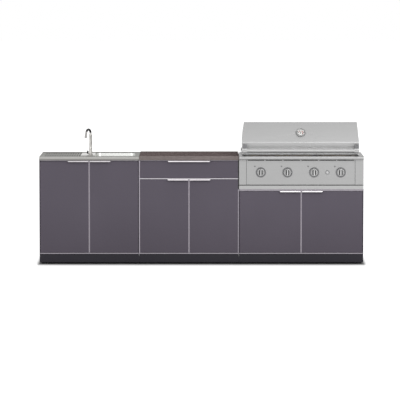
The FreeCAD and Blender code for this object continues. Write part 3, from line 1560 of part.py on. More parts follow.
def build_firebox():
    """The firebox that hangs in the deck, with ledges for the grates and flame tamers."""
    wall, rim = s.casing_sheet, s.firebox_rim
    (x0, x1), (y0, y1) = firebox_x, firebox_y
    shell = fuse(
        "firebox_outside",
        [
            box("firebox_tub", (x0, x1), (y0, y1), (firebox_bottom, deck_top)),
            box(
                "firebox_rim_plate",
                (x0 - rim, x1 + rim),
                (y0 - rim, y1 + rim),
                (deck_top, deck_top + wall),
            ),
        ],
    )
    room = box(
        "firebox_room",
        (x0 + wall, x1 - wall),
        (y0 + wall, y1 - wall),
        (firebox_bottom + wall, deck_top + wall),
    )
    drip = box(
        "firebox_drip_hole",
        (x0 + s.drip_hole_side_room, x1 - s.drip_hole_side_room),
        (y0 + s.drip_hole_end_room, y1 - s.drip_hole_end_room),
        (firebox_bottom, firebox_bottom + wall),
    )
    holes = [
        cylinder(
            f"firebox_burner_hole_{number}",
            (x, y0, knob_height),
            s.burner_radius + s.turning_gap,
            wall,
            "y",
        )
        for number, x in enumerate(burner_places, 1)
    ]
    tub = cut("firebox_shell", shell, [fuse("firebox_space", [room, drip, *holes])])
    ledges = []
    for level, top in (("grate", grate_top - s.grate_thickness), ("tamer", tamer_height)):
        high = (top - s.ledge_height, top)
        for end, y in (
            ("front", (y0 + wall, y0 + wall + s.ledge_width)),
            ("rear", (y1 - wall - s.ledge_width, y1 - wall)),
        ):
            ledges.append(box(f"{level}_{end}_ledge", (x0 + wall, x1 - wall), y, high))
    node("grill_firebox", fuse("firebox", [tub, *ledges]))


def build_burners():
    """The burner tubes, from the valves through the front wall of the firebox."""
    tubes = []
    for number, x in enumerate(burner_places, 1):
        start = (x, valve_rear, knob_height)
        length = firebox_y[1] - s.burner_back_gap - valve_rear
        pipe = tube(f"burner_{number}_pipe", start, s.burner_radius, s.burner_wall, length, "y")
        end = (x, firebox_y[1] - s.burner_back_gap, knob_height)
        reach = s.burner_back_gap - s.casing_sheet
        plug = cylinder(f"burner_{number}_end", end, s.burner_radius, reach, "y")
        tubes.append(fuse(f"burner_{number}", [pipe, plug]))
    node("burners", group("burner_tubes", tubes))


def build_tamers():
    """A folded flame tamer over each burner, on the lower ledges."""
    tamers = []
    wall = s.casing_sheet
    start = firebox_y[0] + wall + s.grate_end_gap
    length = firebox_y[1] - firebox_y[0] - (wall + s.grate_end_gap) * 2
    half, rise, sheet_ = s.tamer_width / 2, s.tamer_rise, s.tamer_sheet
    for number, x in enumerate(burner_places, 1):
        z = tamer_height
        tamers.append(
            prism(
                f"tamer_{number}",
                "XZ",
                start,
                length,
                [
                    (x - half, z),
                    (x, z + rise),
                    (x + half, z),
                    (x + half - sheet_ * 2, z),
                    (x, z + rise - sheet_),
                    (x - half + sheet_ * 2, z),
                ],
            )
        )
    node("flame_tamers", group("tamers", tamers))


def slotted_plate(name, x, y, z, frame, slot_width, pitch, count):
    """A grid of bars that run front to back, cut from one plate."""
    body = new_body(name)
    sketch = new_sketch(body, f"{name}_outline", "XY", z[0])
    add_outline(sketch, [(x[0], y[0]), (x[1], y[0]), (x[1], y[1]), (x[0], y[1])])
    pad(body, sketch, z[1] - z[0])
    run = pitch * (count - 1) + slot_width
    start = between(*x) - run / 2
    slot = new_sketch(body, f"{name}_slot", "XY", z[1])
    near_end, far_end = y[0] + frame, y[1] - frame
    end = start + slot_width
    add_outline(slot, [(start, near_end), (end, near_end), (end, far_end), (start, far_end)])
    feature = pocket(body, slot, (z[1] - z[0]) * 2, forwards=False)
    repeat(body, feature, (slot, ["H_Axis"]), pitch, count)
    return body


def build_grates():
    """The cooking grates, side by side on the upper ledges."""
    wall = s.casing_sheet
    low = firebox_x[0] + wall + s.grate_end_gap
    high = firebox_x[1] - wall - s.grate_end_gap
    count = int(s.grate_count.value)
    width = (high - low - s.grate_gap * (count - 1)) / count
    y = (firebox_y[0] + wall + s.grate_end_gap, firebox_y[1] - wall - s.grate_end_gap)
    z = (grate_top - s.grate_thickness, grate_top)
    slots = copies_along(width - s.grate_frame * 2, s.grate_slot, s.grate_pitch)
    grates = []
    for number in range(count):
        start = low + (width + s.grate_gap) * number
        x = (start, start + width)
        name = f"grate_{number + 1}"
        grates.append(
            slotted_plate(name, x, y, z, s.grate_frame, s.grate_slot, s.grate_pitch, slots)
        )
    node("cooking_grates", group("grates", grates))


def build_rack():
    """The warming rack, on legs that stand on the rim of the firebox."""
    x = (firebox_x[0] + s.rack_side_gap, firebox_x[1] - s.rack_side_gap)
    rear = firebox_y[1] - s.rack_rear_gap
    y = (rear - s.rack_depth, rear)
    z = (deck_top + s.rack_rise - s.rack_plate, deck_top + s.rack_rise)
    slots = copies_along(x[1] - x[0] - s.grate_frame * 2, s.grate_slot, s.grate_pitch)
    grid = slotted_plate("rack_grid", x, y, z, s.rack_leg, s.grate_slot, s.grate_pitch, slots)
    rim_top = deck_top + s.casing_sheet
    outer = (firebox_x[0] - s.firebox_rim, firebox_x[1] + s.firebox_rim)
    pieces = [grid]
    for side, edge, rim_edge in (("left", x[0], outer[0]), ("right", x[1], outer[1])):
        if side == "left":
            leg_x = (rim_edge, rim_edge + s.rack_leg)
            arm_x = (rim_edge, edge)
        else:
            leg_x = (rim_edge - s.rack_leg, rim_edge)
            arm_x = (edge, rim_edge)
        for end, leg_y in (("front", (y[0], y[0] + s.rack_leg)), ("rear", (y[1] - s.rack_leg, y[1]))):
            pieces.append(box(f"rack_{side}_{end}_leg", leg_x, leg_y, (rim_top, z[1])))
            pieces.append(box(f"rack_{side}_{end}_arm", arm_x, leg_y, z))
    node("warming_rack", fuse("rack", pieces))


def build_drip_tray():
    """The drip tray behind its full-width front, and the runners it slides on."""
    y0 = front + s.tray_front_thickness
    x = (grill_left + s.tray_side_room, grill_right - s.tray_side_room)
    y = (y0, back - s.tray_rear_room)
    bottom = s.grill_carcass_top + s.runner_height
    z = (bottom, bottom + s.tray_height)
    wall = s.tray_wall
    outside = box("tray_outside", x, y, z)
    inside = box(
        "tray_inside", (x[0] + wall, x[1] - wall), (y[0] + wall, y[1] - wall), (z[0] + wall, z[1])
    )
    face_x = (grill_left + s.head_gap, grill_right - s.cabinet_joint)
    high = (tray_front_bottom, tray_front_top)
    face = box("tray_face_outside", face_x, (front, y0), high)
    fold = s.casing_sheet
    face_room = box(
        "tray_face_inside",
        (face_x[0] + fold, face_x[1] - fold),
        (front + fold, y0 - fold),
        (high[0] + fold, high[1] - fold),
    )
    tub = cut("tray_tub", outside, [inside])
    node("drip_tray", group("tray", [tub, cut("tray_face", face, [face_room])]))

    runners = []
    for side, start in (
        ("left", x[0] + s.runner_inset),
        ("right", x[1] - s.runner_inset - s.runner_width),
    ):
        runners.append(
            box(
                f"{side}_runner",
                (start, start + s.runner_width),
                (carcass_front, back_panel_front),
                (s.grill_carcass_top, bottom),
            )
        )
    node("tray_runners", group("runners", runners))


def lid_front(height):
    """How far back the lower front face of the lid is at a height."""
    share = (height - lid_bottom) / s.lid_bend_rise
    return front + s.lid_front_setback - (s.lid_front_setback - s.lid_bend_setback) * share


def build_lid():
    """The folded lid: a shell open below, drawn in a little at the top of its sides."""
    bend = (front + s.lid_bend_setback, lid_bend_height)
    crest = (front + s.lid_top_setback, lid_top_height)
    eave = (lid_rear, lid_top_height - s.lid_roof_fall)
    body = new_body("lid")
    profile = new_sketch(body, "lid_profile", "YZ", lid_x[0])
    add_outline(
        profile,
        [
            (front + s.lid_front_setback, lid_bottom),
            bend,
            crest,
            eave,
            (lid_rear, lid_bottom),
        ],
    )
    pad(body, profile, lid_x[1] - lid_x[0])
    ends = new_sketch(body, "lid_taper_ends", "XZ", front)
    taper, low, high = s.lid_taper, lid_bend_height, lid_top_height + s.lid_taper
    add_outline(ends, [(lid_x[0], low), (lid_x[0], high), (lid_x[0] + taper, high)])
    add_outline(ends, [(lid_x[1], low), (lid_x[1] - taper, high), (lid_x[1], high)])
    pocket(body, ends)
    for radius, (y, z) in (
        (s.lid_bend_round, bend),
        (s.lid_top_round, crest),
        (s.lid_rear_round, eave),
    ):
        round_edges(
            body,
            radius,
            lambda e, y=y, z=z: runs_along(e, "x")
            and near(e.CenterOfMass.y, y.value)
            and near(e.CenterOfMass.z, z.value),
        )
    hollow(body, s.lid_sheet, lambda f: near(f.BoundBox.ZMax, lid_bottom.value))
    holes = new_sketch(body, "lid_pivot_holes", "YZ", lid_x[0])
    add_circle(holes, lid_pivot, s.lid_pivot_radius + s.pivot_clearance)
    pocket(body, holes)
    hole = turned(
        "lid_gauge_hole",
        [
            (0, -s.gauge_thickness),
            (s.gauge_stem_radius + s.turning_gap, -s.gauge_thickness),
            (s.gauge_stem_radius + s.turning_gap, s.gauge_thickness),
            (0, s.gauge_thickness),
        ],
    )
    node("lid_shell", cut("lid_with_holes", body, [onto_lid_face(hole)]))


def onto_lid_face(thing):
    """Turn a piece that stands on +Z to stand on the sloping face of the lid."""
    rise = s.lid_slope_rise
    run = s.lid_top_setback - s.lid_bend_setback
    y = front + s.lid_bend_setback + run * (s.gauge_rise / rise)
    thing.Placement = Placement(Vector(), Rotation(Vector(1, 0, 0), 1))
    thing.setExpression("Placement.Rotation.Angle", slope_angle(rise, run).formula)
    return place(thing, between(*lid_x), y, gauge_height)


def build_gauge():
    """The round thermometer on the sloping face of the lid."""
    radius, thick = s.gauge_radius, s.gauge_thickness
    gauge = turned(
        "gauge",
        [
            (0, -s.gauge_stem_length),
            (s.gauge_stem_radius, -s.gauge_stem_length),
            (s.gauge_stem_radius, 0),
            (radius, 0),
            (radius, thick * 0.75),
            (radius * 0.9, thick),
            (0, thick),
        ],
    )
    node("lid_thermometer", onto_lid_face(gauge))


def build_handle():
    """The tubular lid handle and its two brackets."""
    y = front - s.handle_standout
    low = handle_height - s.handle_bracket_bottom
    high = handle_height + s.handle_bracket_top
    pieces = []
    inner = []
    for side, start in (
        ("left", lid_x[0] + s.handle_bracket_inset),
        ("right", lid_x[1] - s.handle_bracket_inset - s.handle_bracket),
    ):
        inner.append((start, start + s.handle_bracket))
        pieces.append(
            prism(
                f"handle_{side}_bracket",
                "YZ",
                start,
                s.handle_bracket,
                [
                    (lid_front(low), low),
                    (lid_front(high), high),
                    (y + s.handle_radius, high),
                    (y - s.handle_radius, handle_height + s.handle_radius),
                    (y - s.handle_radius, low),
                ],
            )
        )
    start = inner[0][1]
    bar = cylinder("handle_bar", (start, y, handle_height), s.handle_radius, inner[1][0] - start, "x")
    node("lid_handle", group("handle", [*pieces, bar]))


def build_lid_hinges():
    """The brackets beside the lid and the pins that it turns on."""
    y, z = lid_pivot
    half = s.lid_bracket_length / 2
    deep = (y - half, y + half)
    high = (deck_top, z + s.lid_bracket_rise)
    pieces = []
    for side, edge, outward in (("left", lid_x[0], -1), ("right", lid_x[1], 1)):
        inner = edge + s.lid_side_gap * outward
        outer = inner + s.lid_bracket * outward
        x = (outer, inner) if outward < 0 else (inner, outer)
        plate = box(f"lid_{side}_bracket", x, deep, high)
        reach = s.lid_bracket + s.lid_side_gap + s.lid_pin_inside
        start = x[0] if outward < 0 else edge - s.lid_pin_inside
        pin = cylinder(f"lid_{side}_pin", (start, y, z), s.lid_pivot_radius, reach, "x")
        pieces.append(fuse(f"lid_{side}_hinge", [plate, pin]))
    node("lid_hinges", group("hinges", pieces))


build_sides()
build_backs((drain_x, outlet_height))
build_floors()
build_rails()
build_kicks()
build_feet()
build_bolts()
build_doors()
build_drawer()
build_worktop()
build_sink_top()
build_bowl()
build_drain()
build_faucet()
build_casing()
build_deck()
build_control_panel()
build_knobs()
build_igniter()
build_gas_rail()
build_firebox()
build_burners()
build_tamers()
build_grates()
build_rack()
build_drip_tray()
build_lid()
build_gauge()
build_handle()
build_lid_hinges()

doc.recompute()

failed = [thing.Label for thing in doc.Objects if {"Invalid", "Error"} & set(thing.State)]
if failed:
    raise ValueError(f"these did not build: {failed}")
for thing in nodes:
    if thing.Shape.isNull() or not thing.Shape.isValid() or not thing.Shape.Solids:
        raise ValueError(f"{thing.Label} has no sound shape")

os.makedirs("parts", exist_ok=True)
for thing in nodes:
    thing.Shape.exportStep(f"parts/{thing.Label}.step")
    print(f"{thing.Label}: {len(thing.Shape.Solids)} solids")
print(f"{len(nodes)} nodes")
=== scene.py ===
"""Looks of an outdoor kitchen island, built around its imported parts.

Three cabinets stand in a row: sink, drawer and grill. Each sub-assembly is a class that dresses
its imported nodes, or replaces them with finer pieces of the same size and place. Lengths are in
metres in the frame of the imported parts: +X runs from the sink to the grill, the doors face -Y.
"""

import json
import logging
import math
from abc import ABC, abstractmethod
from dataclasses import dataclass, field
from enum import Enum
from typing import Callable, Iterable, Optional, Sequence, Union

import bmesh
import bpy
from mathutils import Matrix, Vector


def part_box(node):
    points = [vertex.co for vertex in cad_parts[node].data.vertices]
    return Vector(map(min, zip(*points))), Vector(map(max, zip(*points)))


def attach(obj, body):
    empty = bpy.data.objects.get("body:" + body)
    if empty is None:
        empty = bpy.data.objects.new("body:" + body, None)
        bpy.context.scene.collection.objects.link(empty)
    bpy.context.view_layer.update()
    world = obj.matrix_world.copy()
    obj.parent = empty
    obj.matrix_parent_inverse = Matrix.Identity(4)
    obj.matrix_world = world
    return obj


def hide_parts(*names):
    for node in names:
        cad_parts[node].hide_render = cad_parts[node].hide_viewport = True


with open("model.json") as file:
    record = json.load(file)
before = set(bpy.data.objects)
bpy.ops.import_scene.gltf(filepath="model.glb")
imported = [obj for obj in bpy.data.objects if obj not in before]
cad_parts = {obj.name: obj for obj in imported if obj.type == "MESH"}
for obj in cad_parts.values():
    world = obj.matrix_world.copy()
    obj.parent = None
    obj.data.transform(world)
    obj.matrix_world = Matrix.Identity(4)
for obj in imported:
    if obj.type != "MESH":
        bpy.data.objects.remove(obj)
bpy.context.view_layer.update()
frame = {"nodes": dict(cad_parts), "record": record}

log = logging.getLogger("kitchen")

MM = 0.001
Socket = bpy.types.NodeSocket
Colour = tuple[float, float, float, float]
Value = Union[float, Sequence[float], Socket]
Outline = Sequence[tuple[float, float]]

# Points closer than this are one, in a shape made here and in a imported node.
WELD = 1e-7
PACKED_WELD = 2e-6
# Faces that turn less than this belong to one flat.
FLAT_ANGLE = math.radians(0.6)
# Edges below these angles in degrees are shaded smooth.
SHEET_SMOOTH = 22.0
TURNED_SMOOTH = 30.0


class Axis(Enum):
    """A direction that a grain or a bar runs along."""

    X = 0
    Y = 1
    Z = 2


def tone(code: str) -> Colour:
    """Turn a colour written as on screen into the light values that shaders use.

    Args:
        code: six hexadecimal digits.

    Returns:
        Red, green, blue and an alpha of one.
    """
    parts = [int(code[i : i + 2], 16) / 255 for i in (0, 2, 4)]
    light = [p / 12.92 if p <= 0.04045 else ((p + 0.055) / 1.055) ** 2.4 for p in parts]
    return (light[0], light[1], light[2], 1.0)


def scaled(colour: Colour, factor: float, lift: float = 0.0) -> Colour:
    """Make a colour darker or lighter.

    Args:
        colour: the light values to start from.
        factor: what each of them is multiplied by.
        lift: what is added to each of them afterwards.

    Returns:
        The new light values, none above one.
    """
    red, green, blue = (min(1.0, part * factor + lift) for part in colour[:3])
    return (red, green, blue, 1.0)


def grey(light: float) -> Colour:
    """A grey of a given light value."""
    return (light, light, light, 1.0)


def in_metres(outline: Outline) -> list[tuple[float, float]]:
    """An outline that is written in millimetres."""
    return [(a * MM, b * MM) for a, b in outline]


class Graph:
    """A node tree that is written with short calls."""

    def __init__(self, tree: bpy.types.NodeTree) -> None:
        """Start from an empty tree."""
        self.tree = tree

    def add(
        self,
        kind: str,
        sockets: Optional[dict[Union[str, int], Value]] = None,
        **settings: object,
    ) -> bpy.types.Node:
        """Add a node.

        Args:
            kind: the node's type name.
            sockets: a value or a linked output for each named or numbered input.
            settings: the node's own options.

        Returns:
            The new node.
        """
        node = self.tree.nodes.new(kind)
        for name, value in settings.items():
            setattr(node, name, value)
        for key, value in (sockets or {}).items():
            if isinstance(value, Socket):
                self.tree.links.new(value, node.inputs[key])
            else:
                node.inputs[key].default_value = value
        return node


class ShaderGraph(Graph):
    """The nodes of one material."""

    def math(self, operation: str, a: Value, b: Value = 0.0) -> Socket:
        """One sum on two values."""
        return self.add("ShaderNodeMath", {0: a, 1: b}, operation=operation).outputs[0]

    def times(self, product: Value, *factors: Value) -> Value:
        """The product of all the values.

        Args:
            product: the first value.
            factors: the other values.

        Returns:
            The product's socket, or the first value where it stands alone.
        """
        for factor in factors:
            product = self.math("MULTIPLY", product, factor)
        return product

    def place(self, stretch: Sequence[float] = (1, 1, 1)) -> Socket:
        """The place on the piece in metres, stretched along each axis."""
        coordinates = self.add("ShaderNodeTexCoord").outputs["Object"]
        return self.add("ShaderNodeMapping", {"Vector": coordinates, "Scale": stretch}).outputs[0]

    def parts(self) -> list[Socket]:
        """The x, y and z of the place on the piece, in metres."""
        return list(self.add("ShaderNodeSeparateXYZ", {0: self.place()}).outputs)

    def noise(
        self,
        scale: float,
        detail: float = 3.0,
        roughness: float = 0.55,
        stretch: Sequence[float] = (1, 1, 1),
    ) -> Socket:
        """Soft random values, from 0 to 1.

        Args:
            scale: patches in a metre.
            detail: finer layers.
            roughness: strength of the finer layers.
            stretch: how much finer the pattern is along each axis.

        Returns:
            The value's socket.
        """
        sockets = {"Scale": scale, "Detail": detail, "Roughness": roughness}
        sockets["Vector"] = self.place(stretch)
        return self.add("ShaderNodeTexNoise", sockets).outputs["Fac"]

    def cells(self, scale: float) -> bpy.types.Node:
        """A pattern of random grains, so many in a metre."""
        return self.add("ShaderNodeTexVoronoi", {"Vector": self.place(), "Scale": scale})

    def within(self, value: Value, low: float, high: float) -> Socket:
        """One where a value lies between two others, otherwise zero."""
        above = self.math("GREATER_THAN", value, low)
        return self.times(above, self.math("LESS_THAN", value, high))

    def span(
        self, value: Value, low: float, high: float, start: float = 0.0, end: float = 1.0
    ) -> Socket:
        """Move a value's range from low..high to start..end, held at both ends.

        Args:
            value: the value to move.
            low: where its range starts.
            high: where its range ends.
            start: what the low end becomes.
            end: what the high end becomes.

        Returns:
            The moved value.
        """
        sockets = {
            "Value": value, "From Min": low, "From Max": high, "To Min": start, "To Max": end,
        }
        return self.add("ShaderNodeMapRange", sockets, clamp=True).outputs[0]

    def blend(self, share: Value, a: Value, b: Value) -> Socket:
        """Go from colour a to colour b."""
        return self.add("ShaderNodeMix", {0: share, 6: a, 7: b}, data_type="RGBA").outputs[2]

    def worn(self, amount: float) -> Socket:
        """How worn the surface is: patches along the eased edges.

        Args:
            amount: the wear where it is strongest.

        Returns:
            The share of wear.
        """
        edge = self.add("ShaderNodeAttribute", attribute_name="worn").outputs["Fac"]
        patches = self.span(self.noise(55, 4), 0.42, 0.62)
        return self.times(edge, patches, amount)

    def relief(self, height: Value, depth: float, after: Optional[Socket] = None) -> Socket:
        """A bump of a depth in metres, on top of an earlier one.

        Args:
            height: the pattern of heights.
            depth: how deep it reaches, in metres.
            after: the normal that an earlier bump gave.

        Returns:
            The bumped normal.
        """
        sockets: dict = {"Height": height, "Distance": depth, "Strength": 1.0}
        if after is not None:
            sockets["Normal"] = after
        return self.add("ShaderNodeBump", sockets).outputs[0]

    def surface(self, **sockets: Value) -> Socket:
        """The surface shader, its inputs written with underscores for spaces."""
        named = {name.replace("_", " "): value for name, value in sockets.items()}
        return self.add("ShaderNodeBsdfPrincipled", named).outputs[0]

    def matt(self, colour: Value) -> Socket:
        """A surface without any gloss."""
        return self.add("ShaderNodeBsdfDiffuse", {"Color": colour}).outputs[0]

    def cover(self, share: Value, below: Socket, above: Socket) -> Socket:
        """One surface that is partly covered by another."""
        return self.add("ShaderNodeMixShader", {0: share, 1: below, 2: above}).outputs[0]


@dataclass(frozen=True)
class Finish(ABC):
    """A finish that becomes one material."""

    name: str

    @abstractmethod
    def paint(self, g: ShaderGraph) -> Socket:
        """Lay down the nodes and return the shader's output."""

    def material(self) -> bpy.types.Material:
        """The material of this finish, made the first time that it is asked for.

        Returns:
            The material.
        """
        known = bpy.data.materials.get(f"finish_{self.name}")
        if known:
            return known
        made = bpy.data.materials.new(f"finish_{self.name}")
        made.use_nodes = True
        made.node_tree.nodes.clear()
        g = ShaderGraph(made.node_tree)
        g.add("ShaderNodeOutputMaterial", {"Surface": self.paint(g)})
        return made


@dataclass(frozen=True)
class BrushedSteel(Finish):
    """Sheet steel with a fine grain along one axis, faint smears and brighter worn edges.

    Here and in the other finishes a scale is patches in a metre, and a depth is that of a bump.
    """

    colour: str = "C4C4C4"
    grain: Axis = Axis.X
    roughness: float = 0.3
    contrast: float = 0.05
    glancing: str = "FFFFFF"
    along_grain: float = 0.012
    worn_tone: str = "E6E6E6"
    fine_scale: float = 1400.0
    coarse_scale: float = 260.0
    smear_scale: float = 5.0
    fine_depth: float = 0.02 * MM
    coarse_depth: float = 0.01 * MM

    def paint(self, g: ShaderGraph) -> Socket:
        """Grain, smears and worn edges.

        Args:
            g: the nodes of the material.

        Returns:
            The shader's output.
        """
        along = [self.along_grain if axis is self.grain else 1.0 for axis in Axis]
        grain = g.noise(self.fine_scale, 4, 0.7, along)
        coarse = g.noise(self.coarse_scale, 2, stretch=along)
        smears = g.noise(self.smear_scale)
        light = tone(self.colour)
        dark = scaled(light, 1 - self.contrast * 2.4)
        both = g.math("ADD", g.times(grain, 0.6), g.times(coarse, 0.4))
        colour = g.blend(g.span(both, 0.35, 0.65), dark, light)
        colour = g.blend(self.edge_wear_and_highlight(g), self.shaded(g, colour), tone(self.worn_tone))
        lines = g.span(grain, 0.3, 0.7, self.roughness - 0.05, self.roughness + 0.07)
        rough = g.math("ADD", lines, g.span(smears, 0.4, 0.75, 0.0, 0.05))
        bump = g.relief(grain, self.fine_depth, g.relief(coarse, self.coarse_depth))
        return g.surface(
            Base_Color=colour,
            Metallic=1.0,
            Roughness=rough,
            Normal=bump,
            Specular_Tint=tone(self.glancing),
        )

    def shaded(self, g: ShaderGraph, colour: Socket) -> Socket:
        """The colour after what only some sheets have: nothing here."""
        return colour

    def edge_wear_and_highlight(self, g: ShaderGraph) -> Socket:
        """How far the eased edges have been rubbed bright: wear alone here."""
        return g.worn(0.6)


@dataclass(frozen=True)
class LidSheet(BrushedSteel):
    """The lid's sheet: painted lighter below its bend, a painted shadow behind the handle."""

    # Painted light: lighter from the bend down to the lower edge, lightest along the edge itself.
    rubbed: tuple[float, float] = (0.905, 0.985)
    painted_lower_light_tone: str = "E2E2E2"
    wiped: float = 0.9035
    painted_edge_light_tone: str = "FAFAFA"
    # Painted shadow: a dark matt band on the lid's face just under the handle.
    handle_shadow: tuple[float, float] = (0.9045, 0.9145)
    handle_shadow_face: float = -0.2
    handle_shadow_tones: tuple[str, str] = ("3A3A3A", "4A4A49")
    handle_shadow_scale: float = 30.0
    # Painted highlight: across this span the worn edges brighten from left to right.
    wear_and_highlight_span: tuple[float, float] = (0.45, 1.1)

    def paint(self, g: ShaderGraph) -> Socket:
        """A painted shadow in a band under the handle, over the brushed sheet.

        Args:
            g: the nodes of the material.

        Returns:
            The shader's output.
        """
        steel = super().paint(g)
        _, y, z = g.parts()
        band = g.times(g.within(z, *self.handle_shadow), g.math("LESS_THAN", y, self.handle_shadow_face))
        patchy = g.span(g.noise(self.handle_shadow_scale), 0.3, 0.7, 0.5, 0.7)
        handle_shadow = g.matt(g.blend(patchy, *map(tone, self.handle_shadow_tones)))
        return g.cover(g.times(band, patchy), steel, handle_shadow)

    def shaded(self, g: ShaderGraph, colour: Socket) -> Socket:
        """Painted light: brighter towards the lower edge, most of all along it.

        Args:
            g: the nodes of the material.
            colour: the colour so far.

        Returns:
            The colour afterwards.
        """
        height = g.parts()[2]
        colour = g.blend(g.span(height, *self.rubbed, 1.0, 0.0), colour, tone(self.painted_lower_light_tone))
        return g.blend(g.math("LESS_THAN", height, self.wiped), colour, tone(self.painted_edge_light_tone))

    def edge_wear_and_highlight(self, g: ShaderGraph) -> Socket:
        """Edge wear, with a painted highlight that grows towards the right."""
        return g.times(g.worn(1.0), g.span(g.parts()[0], *self.wear_and_highlight_span))


@dataclass(frozen=True)
class TraySheet(BrushedSteel):
    """The sheet of the drip tray, its upper rim painted dark as shade under the panel."""

    # Painted shade: above this height the rim is covered by a dark matt film.
    rim: float = 0.6427
    rim_shade_tones: tuple[str, str] = ("1A1A1A", "262524")
    soot_scale: float = 60.0

    def paint(self, g: ShaderGraph) -> Socket:
        """A painted shade on the rim, over the brushed sheet.

        Args:
            g: the nodes of the material.

        Returns:
            The shader's output.
        """
        steel = super().paint(g)
        # Painted shade along the rim, in soft patches.
        patchy = g.span(g.noise(self.soot_scale), 0.3, 0.7, 0.8, 0.95)
        share = g.times(g.math("GREATER_THAN", g.parts()[2], self.rim), patchy)
        return g.cover(share, steel, g.matt(g.blend(patchy, *map(tone, self.rim_shade_tones))))


@dataclass(frozen=True)
class SinkSheet(BrushedSteel):
    """The sink's top: painted shade in grooves and low on its front, painted highlight on its
    landing.
    """

    # Painted shade: the drainboard's grooves are filled with a dark matt film.
    first_groove: float = -1.281
    last_groove: float = -0.992
    pitch: float = 20.0 * MM
    groove: float = 9.0 * MM
    rows: tuple[tuple[float, float], ...] = ((-0.2, -0.03), (0.03, 0.19))
    darkening_tones: tuple[str, str] = ("1F1E1C", "34322F")
    darkening_scale: float = 160.0
    speckle_scale: float = 90.0
    rear: float = 0.2
    rear_darkening: float = 0.3
    # Painted highlight: the landing beside the bowl is covered by a brighter, glossier steel.
    landing: tuple[float, float] = (-0.988, -0.8755)
    landing_depth: tuple[float, float] = (-0.13, 0.2)
    landing_highlight_tones: tuple[str, str] = ("C4C3C0", "D4D3D0")
    landing_highlight_share: float = 0.95
    wipe_scale: float = 300.0
    wipe_depth: float = 0.01 * MM
    # Painted shade: the front fold darkens towards its lower edge.
    front_face: float = -0.2995
    front_height: tuple[float, float] = (0.857, 0.864)
    front_shade_tone: str = "6E6C6A"

    def paint(self, g: ShaderGraph) -> Socket:
        """Painted shade in the grooves and a painted highlight on the landing, over the brushed
        sheet.

        Args:
            g: the nodes of the material.

        Returns:
            The shader's output.
        """
        steel = super().paint(g)
        x, y, _ = g.parts()
        darkened = g.cover(self.groove_shade_and_rear_darkening(g, x, y), steel, self.darkening_film(g))
        landing = g.times(g.within(x, *self.landing), g.within(y, *self.landing_depth))
        return g.cover(g.times(landing, self.landing_highlight_share), darkened, self.landing_highlight_sheet(g))

    def groove_shade_and_rear_darkening(self, g: ShaderGraph, x: Socket, y: Socket) -> Socket:
        """How dark a place is painted: painted shade most in the grooves, a little darker along the
        rear.

        Args:
            g: the nodes of the material.
            x: the place across the cabinet.
            y: the place from front to back.

        Returns:
            The share of darkening, from 0 to 1.
        """
        turn = g.math("DIVIDE", g.math("SUBTRACT", x, self.first_groove), self.pitch)
        in_groove = g.math("LESS_THAN", g.math("FRACT", turn), self.groove / self.pitch)
        board = g.within(x, self.first_groove, self.last_groove)
        in_rows = g.math("ADD", *[g.within(y, low, high) for low, high in self.rows])
        speckle = g.span(g.noise(self.speckle_scale), 0.35, 0.6, 0.6, 0.8)
        rear = g.times(g.math("GREATER_THAN", y, self.rear), self.rear_darkening)
        return g.math("MAXIMUM", g.times(in_groove, board, in_rows, speckle), rear)

    def darkening_film(self, g: ShaderGraph) -> Socket:
        """The dark matt film that the darkening lays down."""
        return g.matt(g.blend(g.noise(self.darkening_scale), *map(tone, self.darkening_tones)))

    def landing_highlight_sheet(self, g: ShaderGraph) -> Socket:
        """The steel of the landing, a painted highlight, wiped front to back.

        Args:
            g: the nodes of the material.

        Returns:
            The shader's output.
        """
        wiped = g.noise(self.wipe_scale, stretch=(1, 0.02, 1))
        return g.surface(
            Base_Color=g.blend(wiped, *map(tone, self.landing_highlight_tones)),
            Metallic=1.0,
            Roughness=g.span(wiped, 0.3, 0.7, 0.22, 0.3),
            Normal=g.relief(wiped, self.wipe_depth),
        )

    def shaded(self, g: ShaderGraph, colour: Socket) -> Socket:
        """Painted shade: the fold at the front, darker towards its lower edge.

        Args:
            g: the nodes of the material.
            colour: the colour so far.

        Returns:
            The colour afterwards.
        """
        _, y, z = g.parts()
        front = g.math("LESS_THAN", y, self.front_face)
        falling = g.times(front, g.span(z, *self.front_height, 0.8, 0.0))
        return g.blend(falling, colour, tone(self.front_shade_tone))


@dataclass(frozen=True)
class Polished(Finish):
    """Bright metal with fine wiping marks."""

    colour: str = "E2E0E2"
    roughness: float = 0.14
    clouding: float = 0.88
    worn_tone: str = "F2F2F2"
    mark_scale: float = 90.0
    cloud_scale: float = 14.0
    mark_depth: float = 0.015 * MM

    def paint(self, g: ShaderGraph) -> Socket:
        """Wiping marks in the gloss, faint clouding in the colour.

        Args:
            g: the nodes of the material.

        Returns:
            The shader's output.
        """
        marks = g.noise(self.mark_scale, 5, 0.7, (1, 1, 4))
        cloud = g.noise(self.cloud_scale)
        light = tone(self.colour)
        colour = g.blend(g.span(cloud, 0.3, 0.7), scaled(light, self.clouding), light)
        colour = g.blend(g.worn(0.5), self.shaded(g, colour), tone(self.worn_tone))
        rough = g.span(marks, 0.3, 0.75, self.roughness, self.roughness + 0.12)
        bump = g.relief(marks, self.mark_depth)
        return g.surface(Base_Color=colour, Metallic=1.0, Roughness=rough, Normal=bump)

    def shaded(self, g: ShaderGraph, colour: Socket) -> Socket:
        """The colour after what only some pieces have: nothing here."""
        return colour


